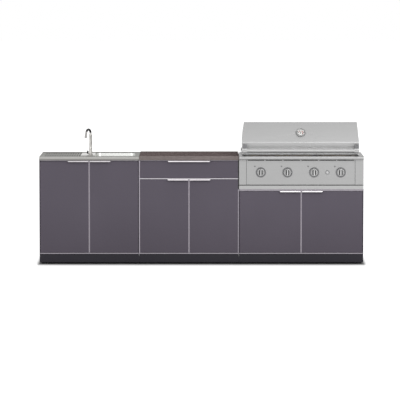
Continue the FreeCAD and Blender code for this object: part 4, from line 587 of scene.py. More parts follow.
@dataclass(frozen=True)
class FaucetSteel(Polished):
    """The steel of the faucet's column, water marked, bright on its left and painted darker on its
    right.
    """

    # Painted shade: across this span the column turns from the bright tone to the dull one.
    sides: tuple[float, float] = (-0.921, -0.899)
    lit_and_shaded_tones: tuple[str, str] = ("D6D4D1", "86847F")
    clear: float = 0.25
    water_scale: float = 70.0

    def shaded(self, g: ShaderGraph, colour: Socket) -> Socket:
        """Painted light and shade: bright on the left, duller to the right.

        Args:
            g: the nodes of the material.
            colour: the colour so far.

        Returns:
            The colour afterwards.
        """
        water = g.noise(self.water_scale, stretch=(1, 1, 0.3))
        marks = g.span(water, 0.3, 0.7, -0.002, 0.002)
        share = g.span(g.math("ADD", g.parts()[0], marks), *self.sides)
        bright, dull = (g.blend(self.clear, tone(code), colour) for code in self.lit_and_shaded_tones)
        return g.blend(share, bright, dull)


@dataclass(frozen=True)
class PowderCoat(Finish):
    """A baked coat with the fine texture of powder, lighter where its edges have rubbed."""

    colour: str = "5F5864"
    roughness: float = 0.5
    rubbed: str = "8A858D"
    cloud: float = 0.06
    skin_scale: float = 1100.0
    slow_scale: float = 2.2
    fine_scale: float = 320.0
    skin_depth: float = 0.03 * MM
    # Painted shade: the coat darkens towards the bottom by up to this share.
    low_shade: float = 0.0
    low_shade_from: tuple[float, float] = (0.1, 0.5)
    low_shade_tint: tuple[float, float, float] = (0.6, 0.56, 0.57)

    def paint(self, g: ShaderGraph) -> Socket:
        """Powder texture, a slow change of tone, painted shade low down where set, and rubbed
        edges.

        Args:
            g: the nodes of the material.

        Returns:
            The shader's output.
        """
        skin = g.noise(self.skin_scale, 3, 0.6)
        slow = g.noise(self.slow_scale, 2, stretch=(1, 1, 0.5))
        fine = g.noise(self.fine_scale)
        light = tone(self.colour)
        dark = scaled(light, 1 - self.cloud * 2)
        both = g.math("ADD", g.times(slow, 0.7), g.times(fine, 0.3))
        colour = g.blend(g.span(both, 0.35, 0.65), dark, light)
        # Painted shade: darker towards the bottom.
        if self.low_shade:
            share = g.span(g.parts()[2], *self.low_shade_from, self.low_shade, 0.0)
            darkened = (*(part * tint for part, tint in zip(light, self.low_shade_tint)), 1.0)
            colour = g.blend(share, colour, darkened)
        colour = g.blend(g.worn(0.7), colour, tone(self.rubbed))
        rough = g.span(fine, 0.3, 0.7, self.roughness - 0.06, self.roughness + 0.06)
        bump = g.relief(skin, self.skin_depth)
        return g.surface(Base_Color=colour, Roughness=rough, Normal=bump, Specular_IOR_Level=0.25)


@dataclass(frozen=True)
class Granite(Finish):
    """Honed brown grey granite, without a gloss: dark and pale grains and slow drifts."""

    grounds: tuple[str, str] = ("554B4A", "675E5E")
    dark: str = "3A3234"
    pale: str = "A0938E"
    rust: str = "7A5F52"
    vein: str = "4A4041"
    # Painted light: the front face is painted lighter towards this tone.
    edge: str = "A59C99"
    lit_front_face: float = -0.2885
    cloud_scale: float = 26.0
    large_scale: float = 190.0
    small_scale: float = 430.0
    rust_scale: float = 75.0
    vein_scale: float = 60.0
    grain_depth: float = 0.06 * MM

    def paint(self, g: ShaderGraph) -> Socket:
        """Two sizes of grains over a clouded ground, the front face painted lighter as lit.

        Args:
            g: the nodes of the material.

        Returns:
            The shader's output.
        """
        clouds = g.span(g.noise(self.cloud_scale, 6, 0.7), 0.34, 0.66)
        colour = g.blend(clouds, *map(tone, self.grounds))
        large, small = g.cells(self.large_scale), g.cells(self.small_scale)
        dark = g.span(large.outputs["Color"], 0.62, 0.7)
        pale = g.times(g.span(small.outputs["Color"], 0.66, 0.74), 0.8)
        rust = g.times(g.span(g.noise(self.rust_scale, 4, 0.6), 0.6, 0.7), 0.35)
        drawn = g.noise(self.vein_scale, 4, 0.65, (0.06, 1, 1))
        vein = g.span(drawn, 0.42, 0.62, 0.0, 0.55)
        # Painted light: the front face is lighter.
        edge = g.times(g.math("LESS_THAN", g.parts()[1], self.lit_front_face), 0.42)
        layers = ((dark, self.dark), (pale, self.pale), (rust, self.rust), (vein, self.vein))
        for share, code in (*layers, (edge, self.edge)):
            colour = g.blend(share, colour, tone(code))
        rough = g.span(large.outputs["Distance"], 0.0, 0.7, 0.42, 0.6)
        bump = g.relief(small.outputs["Distance"], self.grain_depth)
        return g.surface(Base_Color=colour, Roughness=rough, Normal=bump, Specular_IOR_Level=0.0)


@dataclass(frozen=True)
class Moulded(Finish):
    """Moulded plastic or laminate with a fine grain."""

    colour: str = "202022"
    roughness: float = 0.5
    grain_scale: float = 900.0
    scuff_scale: float = 40.0
    grain_depth: float = 0.04 * MM

    def paint(self, g: ShaderGraph) -> Socket:
        """Grain of the mould, scuffs on the edges.

        Args:
            g: the nodes of the material.

        Returns:
            The shader's output.
        """
        grain = g.noise(self.grain_scale)
        scuffs = g.noise(self.scuff_scale, 4, stretch=(1, 3, 1))
        light = tone(self.colour)
        colour = g.blend(g.span(scuffs, 0.45, 0.7), light, scaled(light, 1.25, 0.004))
        colour = g.blend(g.worn(0.5), colour, scaled(light, 1.6, 0.02))
        rough = g.span(grain, 0.3, 0.7, self.roughness - 0.07, self.roughness + 0.07)
        bump = g.relief(grain, self.grain_depth)
        return g.surface(Base_Color=colour, Roughness=rough, Normal=bump)


@dataclass(frozen=True)
class CastIron(Finish):
    """Seasoned cast iron: pitted, nearly black, with a dull oil shine."""

    colour: str = "1B1A1A"
    rust: str = "4A2E22"
    pit_scale: float = 700.0
    oil_scale: float = 30.0
    rust_scale: float = 120.0
    pit_depth: float = 0.3 * MM

    def paint(self, g: ShaderGraph) -> Socket:
        """Pits, oily patches and a trace of rust.

        Args:
            g: the nodes of the material.

        Returns:
            The shader's output.
        """
        pits = g.cells(self.pit_scale)
        oil = g.noise(self.oil_scale, 4)
        rust = g.span(g.noise(self.rust_scale, 5, 0.7), 0.6, 0.75)
        colour = g.blend(g.times(rust, 0.3), tone(self.colour), tone(self.rust))
        rough = g.span(oil, 0.35, 0.65, 0.38, 0.62)
        bump = g.relief(pits.outputs["Distance"], self.pit_depth)
        return g.surface(Base_Color=colour, Metallic=0.4, Roughness=rough, Normal=bump)


@dataclass(frozen=True)
class HeatedSteel(Finish):
    """Steel that flames have tinted straw, brown and blue."""

    tints: tuple[tuple[float, str], ...] = (
        (0.3, "8E8A86"), (0.47, "9A8359"), (0.56, "6E4C3C"), (0.66, "4D4F66"), (0.8, "77787C"),
    )
    soot: str = "1E1C1B"
    tint_scale: float = 9.0
    soot_scale: float = 40.0
    soot_depth: float = 0.05 * MM

    def paint(self, g: ShaderGraph) -> Socket:
        """Bands of tint and a film of soot.

        Args:
            g: the nodes of the material.

        Returns:
            The shader's output.
        """
        tint = g.noise(self.tint_scale, 4)
        ramp = g.add("ShaderNodeValToRGB", {"Fac": tint})
        for _ in self.tints[2:]:
            ramp.color_ramp.elements.new(0.5)
        for element, (place, code) in zip(ramp.color_ramp.elements, self.tints):
            element.position = place
            element.color = tone(code)
        soot = g.span(g.noise(self.soot_scale, 5), 0.45, 0.7)
        colour = g.blend(g.times(soot, 0.55), ramp.outputs[0], tone(self.soot))
        rough = g.span(soot, 0.0, 1.0, 0.32, 0.68)
        bump = g.relief(soot, self.soot_depth)
        return g.surface(Base_Color=colour, Metallic=0.85, Roughness=rough, Normal=bump)


@dataclass(frozen=True)
class Enamel(Finish):
    """A smooth printed or fired face."""

    colour: str = "F2F2F0"
    roughness: float = 0.35
    peel_scale: float = 500.0
    age_scale: float = 45.0
    peel_depth: float = 0.01 * MM

    def paint(self, g: ShaderGraph) -> Socket:
        """A faint orange peel and slow ageing.

        Args:
            g: the nodes of the material.

        Returns:
            The shader's output.
        """
        peel = g.noise(self.peel_scale, 2)
        age = g.span(g.noise(self.age_scale), 0.4, 0.8)
        light = tone(self.colour)
        colour = g.blend(age, light, scaled(light, 0.93))
        rough = g.span(peel, 0.3, 0.7, self.roughness - 0.03, self.roughness + 0.05)
        bump = g.relief(peel, self.peel_depth)
        return g.surface(Base_Color=colour, Roughness=rough, Normal=bump)


@dataclass(frozen=True)
class ClearGlass(Finish):
    """The thin lens over the dial."""

    haze_scale: float = 60.0

    def paint(self, g: ShaderGraph) -> Socket:
        """Clear glass with a trace of haze in its gloss."""
        haze = g.span(g.noise(self.haze_scale), 0.4, 0.8, 0.02, 0.07)
        return g.surface(Base_Color=(1, 1, 1, 1), Roughness=haze, IOR=1.2, Transmission_Weight=1.0)


# The slate coat is painted darker low down as shade.
SLATE = PowderCoat("slate_coat", "5E5863", rubbed="817C85", cloud=0.05, low_shade=0.4)
RAIL = BrushedSteel("rail_aluminium", "948F96", roughness=0.36, contrast=0.03)
# Painted light on the middle rail, painted shade on the rail over the grill's doors: copies of one
# aluminium.
LIT_MIDDLE_RAIL = BrushedSteel("middle_rail_aluminium_painted_light", "C4C0C6", roughness=0.34, contrast=0.03)
SHADED_GRILL_RAIL = BrushedSteel("grill_rail_aluminium_painted_shade", "979299", roughness=0.38, contrast=0.03)
# Painted light and shade: one satin pull in three tones, darker under the sink's top, lighter on
# the grill.
SHADED_SINK_PULL = Polished("sink_pull_satin_painted_shade", "D0CBCF", roughness=0.24)
PULL = Polished("pull_satin", "E9E4E8", roughness=0.22)
LIT_GRILL_PULL = Polished("grill_pull_satin_painted_light", "F8F5F7", roughness=0.2)
GRILL_STEEL = BrushedSteel("grill_steel", "A7A7A7", roughness=0.44, contrast=0.03)
TRAY_STEEL = TraySheet("tray_steel", "A7A7A7", roughness=0.44, contrast=0.03)
SINK_STEEL = SinkSheet("sink_steel", "A8A7A4", roughness=0.34, glancing="C2C2C0")
# Painted light: the bowl's steel is a lighter copy of the sink's steel.
LIT_BOWL_STEEL = BrushedSteel("bowl_steel_painted_light", "DCDDDA", grain=Axis.Y, contrast=0.03, glancing="E8E8E6")
BRIGHT = Polished("bright_steel", "DADADA", roughness=0.12)
DARK_COAT = PowderCoat("kick_coat", "29272E", rubbed="4A484E", cloud=0.05)
CASING_STEEL = BrushedSteel("casing_steel", "A2A2A2", grain=Axis.Z, roughness=0.4)
BLACK_COAT = PowderCoat("lever_coat", "1C1C1E", roughness=0.4, rubbed="5A5A5C", cloud=0.04)
FOOT = Moulded("foot_rubber", "1E1E20", roughness=0.6)
BACK_COAT = PowderCoat("back_coat", "55505A", roughness=0.52, rubbed="7C7780", cloud=0.04)
BOARD = PowderCoat("board_coat", "4E4A52", roughness=0.55, rubbed="77727A", cloud=0.04)
PALE_PIPE = Moulded("pale_pipe", "D8D8D4", roughness=0.4)
BUTTON = Polished("button_steel", "B8B8B8", roughness=0.25)
ZINC = BrushedSteel("zinc_plate", "A9ACAE", grain=Axis.Y, roughness=0.36, contrast=0.06)
BRASS = Polished("machined_brass", "C9A35A", roughness=0.24)
GRANITE = Granite("brown_granite")
IRON = CastIron("seasoned_iron")
HEATED = HeatedSteel("heated_steel")
DIAL_WHITE = Enamel("dial_white", "D6D6D4")
GAUGE_STEEL = Polished("gauge_steel", "9C9C9C", roughness=0.3)
DIAL_INK = Enamel("dial_ink", "3A3A3C")
DIAL_RED = Enamel("dial_red", "B4473F")
LENS = ClearGlass("dial_lens")
TRIM = BrushedSteel("trim_aluminium", "A09AA2", grain=Axis.Z, roughness=0.38, contrast=0.03)
FAUCET_STEEL = FaucetSteel("faucet_steel", "ABA9A6", roughness=0.22)
TIP_STEEL = Polished("faucet_tip_steel", "8A8886", roughness=0.24)
# Painted shade: the panel's steel is a darker copy of the grill's steel.
SHADED_PANEL_STEEL = BrushedSteel("panel_steel_painted_shade", "A1A1A1", roughness=0.48, contrast=0.03)
SLEEVE = Moulded("spout_sleeve", "1B1B1C", roughness=0.3)
KNOB_STEEL = Polished("knob_steel", "A6A6A6", roughness=0.32)
KNOB_BRIGHT = Polished("knob_bright", "BCBCBC", roughness=0.3)
# Painted shade: the black inlay shows as shade beside each knob's bar.
KNOB_SHADE_INLAY = Moulded("knob_inlay_painted_shade", "1C1C1E", roughness=0.45)
# Painted shade: the rings are a darker steel, standing for the shade around each knob.
SHADED_RING_STEEL = Polished("ring_steel_painted_shade", "747476", roughness=0.3)
COLLAR_STEEL = Polished("collar_steel", "969698", roughness=0.3)
LID_STEEL = LidSheet("lid_steel", "ACACAC", roughness=0.46, contrast=0.03)
HANDLE = BrushedSteel("handle_steel", "B2B2B2", roughness=0.5, contrast=0.03)
# Painted shade: the gussets' darker coat stands for the shade on the brackets' tops.
SHADED_GUSSET = PowderCoat("gusset_coat_painted_shade", "7C7C7E", rubbed="9A9A9C", cloud=0.05)
# Painted shade: a black for strips put where there is only shade, in gaps and behind slots.
SHADE_BLACK = Moulded("painted_shade_black", "0E0E0F", roughness=0.7)


class Shape:
    """A mesh in the making. Faces that ease an edge are marked as worn."""

    def __init__(self) -> None:
        """Start with nothing."""
        self.bm = bmesh.new()
        self.worn = self.bm.faces.layers.float.new("worn")

    @classmethod
    def of_node(cls, node: str) -> "Shape":
        """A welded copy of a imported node, with its flat faces whole again.

        Args:
            node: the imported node's name.

        Returns:
            The new shape.
        """
        shape = cls()
        bm = shape.bm
        bm.from_mesh(frame["nodes"][node].data)
        layers = bm.faces.layers.float
        shape.worn = layers.get("worn") or layers.new("worn")
        bmesh.ops.remove_doubles(bm, verts=bm.verts, dist=PACKED_WELD)
        bmesh.ops.dissolve_limit(bm, angle_limit=FLAT_ANGLE, verts=bm.verts, edges=bm.edges)
        return shape

    def only(self, wanted: Callable[[float], bool]) -> "Shape":
        """Keep the loose parts whose middle height passes a test.

        Args:
            wanted: the test that a middle height has to pass.

        Returns:
            This shape.
        """
        left = set(self.bm.verts)
        while left:
            part, edge = set(), [left.pop()]
            while edge:
                vert = edge.pop()
                part.add(vert)
                near = {e.other_vert(vert) for e in vert.link_edges} & left
                left -= near
                edge.extend(near)
            heights = [v.co.z for v in part]
            if not wanted((min(heights) + max(heights)) / 2):
                bmesh.ops.delete(self.bm, geom=list(part), context="VERTS")
        return self

    def face(self, points: Iterable[Sequence[float]]) -> None:
        """One flat face through the points."""
        self.bm.faces.new([self.bm.verts.new(p) for p in points])

    def loft(self, rings: Sequence[Sequence[Sequence[float]]], closed: bool = False) -> "Shape":
        """Join rings of points into a skin.

        Args:
            rings: loops with equal numbers of points.
            closed: whether the last ring joins the first, instead of a face over each.

        Returns:
            This shape.
        """
        loops = [[self.bm.verts.new(p) for p in ring] for ring in rings]
        pairs = list(zip(loops, loops[1:])) + ([(loops[-1], loops[0])] if closed else [])
        for low, high in pairs:
            for i in range(len(low)):
                j = (i + 1) % len(low)
                self.bm.faces.new((low[i], low[j], high[j], high[i]))
        if not closed:
            self.bm.faces.new(list(reversed(loops[0])))
            self.bm.faces.new(loops[-1])
        return self

    def block(self, low: Sequence[float], high: Sequence[float]) -> "Shape":
        """A straight block between two corners.

        Args:
            low: its lowest corner.
            high: its highest corner.

        Returns:
            This shape.
        """
        (x0, y0, z0), (x1, y1, z1) = low, high
        ring = [(x0, y0), (x1, y0), (x1, y1), (x0, y1)]
        return self.loft([[(x, y, z) for x, y in ring] for z in (z0, z1)])

    def prism(self, outline: Outline, axis: Axis, start: float, end: float) -> "Shape":
        """An outline on the plane across an axis, drawn out from start to end.

        Args:
            outline: the points of the outline.
            axis: the axis that it is drawn out along.
            start: where it starts on that axis.
            end: where it ends.

        Returns:
            This shape.
        """
        order = {Axis.X: (2, 0, 1), Axis.Y: (0, 2, 1), Axis.Z: (0, 1, 2)}[axis]
        ends = [[(a, b, along) for a, b in outline] for along in (start, end)]
        return self.loft([[[point[i] for i in order] for point in ring] for ring in ends])

    def turned(self, profile: Outline, at: Matrix, steps: int = 48) -> "Shape":
        """A closed (radius, height) profile spun about the local Z of a placement.

        Args:
            profile: the profile's points.
            at: the placement.
            steps: facets around it.

        Returns:
            This shape.
        """
        rings = []
        for step in range(steps):
            angle = math.tau * step / steps
            c, s = math.cos(angle), math.sin(angle)
            rings.append([at @ Vector((r * c, r * s, h)) for r, h in profile])
        self.loft(rings, closed=True)
        bmesh.ops.remove_doubles(self.bm, verts=self.bm.verts, dist=WELD)
        return self

    def ease(self, width: float, segments: int = 2, sharper: float = 30.0) -> "Shape":
        """Round the edges that are sharper than an angle.

        Args:
            width: how far the rounding reaches from the edge.
            segments: facets across the rounding.
            sharper: the angle in degrees between two faces.

        Returns:
            This shape.
        """
        bmesh.ops.recalc_face_normals(self.bm, faces=self.bm.faces)
        limit = math.radians(sharper)
        edges = [
            e for e in self.bm.edges if len(e.link_faces) == 2 and e.calc_face_angle(0.0) > limit
        ]
        made = bmesh.ops.bevel(
            self.bm, geom=edges, offset=width, offset_type="OFFSET", segments=segments,
            profile=0.5, affect="EDGES", clamp_overlap=True,
        )
        for f in made["faces"]:
            f[self.worn] = 1.0
        return self

    def tidy(self) -> "Shape":
        """Weld what touches and turn every face outwards.

        Returns:
            This shape.
        """
        bmesh.ops.remove_doubles(self.bm, verts=self.bm.verts, dist=WELD)
        bmesh.ops.recalc_face_normals(self.bm, faces=self.bm.faces)
        return self

    def moved(self, at: Matrix) -> "Shape":
        """Put the whole shape somewhere else."""
        bmesh.ops.transform(self.bm, matrix=at, verts=self.bm.verts)
        return self

    def piece(
        self, name: str, finish: Finish, smooth: float = SHEET_SMOOTH, weighted: bool = False
    ) -> bpy.types.Object:
        """Make the mesh an object with a finish.

        Args:
            name: the piece's name.
            finish: its finish.
            smooth: edges below this angle in degrees are shaded smooth.
            weighted: whether large faces rule the shading of the small ones beside them.

        Returns:
            The object, at the origin.
        """
        mesh = bpy.data.meshes.new(name)
        self.bm.to_mesh(mesh)
        self.bm.free()
        mesh.materials.clear()
        mesh.materials.append(finish.material())
        for polygon in mesh.polygons:
            polygon.material_index = 0
        mesh.shade_smooth()
        mesh.set_sharp_from_angle(angle=math.radians(smooth))
        made = bpy.data.objects.new(name, mesh)
        bpy.context.scene.collection.objects.link(made)
        if weighted:
            modifier = made.modifiers.new("flat_faces", "WEIGHTED_NORMAL")
            modifier.keep_sharp = True
            plain(made)
        return made


def plain(made: bpy.types.Object) -> bpy.types.Object:
    """Turn an object's modifiers into a plain mesh of the same name.

    Args:
        made: the object.

    Returns:
        The same object.
    """
    bpy.context.view_layer.update()
    graph = bpy.context.evaluated_depsgraph_get()
    mesh = bpy.data.meshes.new_from_object(made.evaluated_get(graph))
    made.modifiers.clear()
    old = made.data
    made.data = mesh
    bpy.data.meshes.remove(old)
    mesh.name = made.name
    return made


BODIES: dict[str, list[str]] = frame["record"]["behaviour"]["bodies"]
BODY_OF = {node: body for body, nodes in BODIES.items() for node in nodes}


def deliver(made: bpy.types.Object, stands_for: str, replaces: bool = True) -> bpy.types.Object:
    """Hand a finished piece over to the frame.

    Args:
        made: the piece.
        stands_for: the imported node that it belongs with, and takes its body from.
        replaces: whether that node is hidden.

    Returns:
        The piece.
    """
    body = BODY_OF[stands_for]
    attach(made, body)
    if replaces:
        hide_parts(stands_for)
    log.info("%s rides on %s, %d faces", made.name, body, len(made.data.polygons))
    return made


@dataclass
class Dressing:
    """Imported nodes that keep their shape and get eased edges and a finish."""

    finish: Finish
    nodes: Sequence[str]
    ease: float
    smooth: float = SHEET_SMOOTH
    weighted: bool = False

    def build(self) -> None:
        """Dress each node."""
        for node in self.nodes:
            shape = Shape.of_node(node).ease(self.ease)
            made = shape.piece(f"{node}_dressed", self.finish, self.smooth, self.weighted)
            deliver(made, node)


CABINETS = ("sink", "drawer_cabinet", "grill")
DOORS = [f"{cabinet}_door_{side}" for cabinet in CABINETS for side in ("left", "right")]
PULLS = [door.replace("_door_", "_pull_") for door in DOORS] + ["drawer_pull"]


class Layout(Enum):
    """How copies of a small piece are laid out."""

    ROW = "row"
    RING = "ring"


@dataclass
class Repeater:
    """Copies of one small piece, laid out by geometry nodes.

    A row moves each copy by a step. A ring turns each copy about the local Z axis.
    """

    layout: Layout
    count: int
    step: tuple[float, float, float]

    def tree(self) -> bpy.types.NodeTree:
        """The node tree of this layout, made once, with named inputs for its sizes.

        Returns:
            The node tree.
        """
        name = f"repeat_in_a_{self.layout.value}"
        known = bpy.data.node_groups.get(name)
        if known:
            return known
        tree = bpy.data.node_groups.new(name, "GeometryNodeTree")
        for label, direction, kind in (
            ("Piece", "INPUT", "NodeSocketGeometry"),
            ("Count", "INPUT", "NodeSocketInt"),
            ("Step", "INPUT", "NodeSocketVector"),
            ("Finish", "INPUT", "NodeSocketMaterial"),
            ("Copies", "OUTPUT", "NodeSocketGeometry"),
        ):
            tree.interface.new_socket(label, in_out=direction, socket_type=kind)
        g = Graph(tree)
        given = g.add("NodeGroupInput").outputs
        if self.layout is Layout.ROW:
            sizes = {"Count": given["Count"], "Offset": given["Step"]}
            points = g.add("GeometryNodeMeshLine", sizes, mode="OFFSET").outputs[0]
            places = {"Points": points, "Instance": given["Piece"]}
        else:
            points = g.add("GeometryNodePoints", {"Count": given["Count"]}).outputs[0]
            number = g.add("GeometryNodeInputIndex").outputs[0]
            turns = {0: given["Step"], "Scale": number}
            turn = g.add("ShaderNodeVectorMath", turns, operation="SCALE").outputs[0]
            places = {"Points": points, "Instance": given["Piece"], "Rotation": turn}
        copies = g.add("GeometryNodeInstanceOnPoints", places).outputs[0]
        real = g.add("GeometryNodeRealizeInstances", {0: copies}).outputs[0]
        dressed = g.add("GeometryNodeSetMaterial", {"Geometry": real, "Material": given["Finish"]})
        g.add("NodeGroupOutput", {0: dressed.outputs[0]})
        return tree

    def spread(
        self, made: bpy.types.Object, finish: Finish, at: Optional[Matrix] = None
    ) -> bpy.types.Object:
        """Turn one piece into all its copies.

        Args:
            made: the first copy.
            finish: the finish of all the copies.
            at: where the whole lot goes afterwards.

        Returns:
            The same object, with a plain mesh of all the copies.
        """
        tree = self.tree()
        modifier = made.modifiers.new("copies", "NODES")
        modifier.node_group = tree
        values = {"Count": self.count, "Step": self.step, "Finish": finish.material()}
        for item in tree.interface.items_tree:
            if item.name in values:
                modifier[item.identifier] = values[item.name]
        plain(made)
        if at is not None:
            made.data.transform(at)
        return made


def facing(x: float, y: float, z: float, lean: float = 0.0) -> Matrix:
    """A placement with its local Z towards the front, and its local Y up.

    Args:
        x, y, z: the place.
        lean: how far it looks upwards, in radians.

    Returns:
        The placement.
    """
    return Matrix.Translation((x, y, z)) @ Matrix.Rotation(math.pi / 2 - lean, 4, "X")


@dataclass
class FramedFront:
    """A door or a drawer front: a slate coloured panel in a frame of the same colour.

    A door has a bright aluminium strip wrapped round its closing edge.
    """

    node: str
    rim: float = 3.0 * MM
    bar: float = 25.0 * MM
    infill: float = 4.0 * MM
    seam: float = 0.25 * MM
    set_back: float = 0.1 * MM
    strip: float = 3.3 * MM
    strip_reach: float = 16.0 * MM
    strip_sheet: float = 0.35 * MM
    strip_top_gap: float = 0.4 * MM
    frame_ease: float = 0.5 * MM
    panel_ease: float = 0.6 * MM
    strip_ease: float = 0.12 * MM

    def build(self) -> None:
        """Make the frame, the panel and the strip."""
        low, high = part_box(self.node)
        self.frame(low, high)
        self.panel(low, high)
        if "_door_" in self.node:
            self.closing_strip(low, high)

    def frame(self, low: Vector, high: Vector) -> None:
        """The frame, its bars mitred at the corners.

        Args:
            low: the node's lowest corner.
            high: the node's highest corner.
        """
        step = low.y + self.infill
        section = (
            (0, low.y), (self.rim, low.y), (self.rim, step),
            (self.bar, step), (self.bar, high.y), (0, high.y),
        )
        rings = []
        for inset, y in section:
            x0, x1, z0, z1 = low.x + inset, high.x - inset, low.z + inset, high.z - inset
            rings.append([(x0, y, z0), (x1, y, z0), (x1, y, z1), (x0, y, z1)])
        shape = Shape().loft(rings, closed=True).ease(self.frame_ease)
        deliver(shape.piece(f"{self.node}_frame", SLATE), self.node)

    def panel(self, low: Vector, high: Vector) -> None:
        """The panel, a hair behind the face of the frame.

        Args:
            low: the node's lowest corner.
            high: the node's highest corner.
        """
        edge = self.rim + self.seam
        start = (low.x + edge, low.y + self.set_back, low.z + edge)
        end = (high.x - edge, low.y + self.infill - self.seam, high.z - edge)
        shape = Shape().block(start, end).ease(self.panel_ease)
        deliver(shape.piece(f"{self.node}_panel", SLATE), self.node, replaces=False)

    def closing_strip(self, low: Vector, high: Vector) -> None:
        """The bright strip: an angle round the front corner of the closing edge.

        Args:
            low: the node's lowest corner.
            high: the node's highest corner.
        """
        edge, inward = (high.x, -1) if self.node.endswith("left") else (low.x, 1)
        t, reach = self.strip_sheet, self.strip_reach
        angle = ((-t, -t), (self.strip, -t), (self.strip, 0), (0, 0), (0, reach), (-t, reach))
        points = [(edge + a * inward, low.y + b) for a, b in angle]
        shape = Shape().prism(points, Axis.Z, low.z, high.z - self.strip_top_gap)
        made = shape.tidy().ease(self.strip_ease).piece(f"{self.node}_strip", TRIM)
        deliver(made, self.node, replaces=False)


@dataclass
class CabinetRow:
    """The three cabinets: boards, doors, drawer, rails, kicks and feet."""

    board_ease: float = 1.0 * MM
    foot_ease: float = 1.5 * MM
    hardware_ease: float = 0.3 * MM
    pull_ease: float = 0.7 * MM
    drawer_ease: float = 0.4 * MM
    slide_ease: float = 0.2 * MM
    rail_ease: float = 0.5 * MM
    middle_rail_reach: float = 12 * MM
    grill_rail_reach: float = 20 * MM
    lip: float = 7.0 * MM
    right_share: float = 0.7
    upper_lip: float = 8.6 * MM
    trim: float = 0.5 * MM
    trim_gap: float = 0.3 * MM
    trim_ease: float = 0.2 * MM

    def build(self) -> None:
        """Dress the cabinets from the boards outwards."""
        Dressing(SLATE, ["cabinet_side_panels"], self.board_ease).build()
        Dressing(BACK_COAT, ["cabinet_back_panels"], self.board_ease).build()
        Dressing(BOARD, ["cabinet_floors_and_shelf"], self.board_ease).build()
        self.rails()
        Dressing(DARK_COAT, ["toe_kicks"], self.board_ease).build()
        Dressing(FOOT, ["levelling_feet"], self.foot_ease).build()
        Dressing(ZINC, ["door_pivot_pins", "assembly_bolts"], self.hardware_ease).build()
        for node in [*DOORS, "drawer_front"]:
            FramedFront(node).build()
        # The pulls are painted in three tones of light and shade.
        for finish, stem in ((SHADED_SINK_PULL, "sink"), (PULL, "drawer"), (LIT_GRILL_PULL, "grill")):
            pulls = [node for node in PULLS if node.startswith(stem)]
            Dressing(finish, pulls, self.pull_ease).build()
        self.trims()
        Dressing(GRILL_STEEL, ["drawer_box"], self.drawer_ease).build()
        members = [f"slide_{member}_members" for member in ("outer", "middle", "inner")]
        Dressing(ZINC, members, self.slide_ease).build()

    def rails(self) -> None:
        """The rails, toned by height: painted light between drawer and doors, painted shade over
        the grill's doors.
        """
        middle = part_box("drawer_front")[0].z
        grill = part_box("grill_door_left")[1].z

        def between(z: float) -> bool:
            """Whether a height is that of the rail between drawer and doors."""
            return abs(z - middle) < self.middle_rail_reach

        def over_grill_doors(z: float) -> bool:
            """Whether a height is that of the rail over the grill's doors."""
            return abs(z - grill) < self.grill_rail_reach

        def others(z: float) -> bool:
            """Whether a height is that of any other rail."""
            return not between(z) and not over_grill_doors(z)

        for name, finish, wanted in (
            ("rails", RAIL, others),
            ("rails_between_drawer_and_doors", LIT_MIDDLE_RAIL, between),
            ("rail_over_grill_doors", SHADED_GRILL_RAIL, over_grill_doors),
        ):
            shape = Shape.of_node("cabinet_rails").only(wanted).ease(self.rail_ease)
            deliver(shape.piece(name, finish), "cabinet_rails", replaces=name == "rails")

    def trims(self) -> None:
        """Caps on the front edges of the drawer cabinet, a black strip of painted shade beside the
        grill's head.
        """
        side_low, side_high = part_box("cabinet_side_panels")
        low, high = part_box("drawer_front")
        foot, head, crown = side_low.z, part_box("drip_tray")[0].z, side_high.z
        for side, finish, start, wide, bottom, top in (
            ("left", TRIM, low.x - self.lip, self.lip, foot, crown),
            ("right", TRIM, high.x, self.lip * self.right_share, foot, head),
            # Painted shade: a black strip stands for the gap beside the grill's head.
            ("right_upper_shade", SHADE_BLACK, high.x, self.upper_lip, head, crown),
        ):
            corner = (start + self.trim_gap, side_low.y - self.trim, bottom)
            end = (start + wide - self.trim_gap, side_low.y, top)
            shape = Shape().block(corner, end).ease(self.trim_ease)
            made = shape.piece(f"drawer_cabinet_{side}_trim", finish)
            deliver(made, "cabinet_rails", replaces=False)


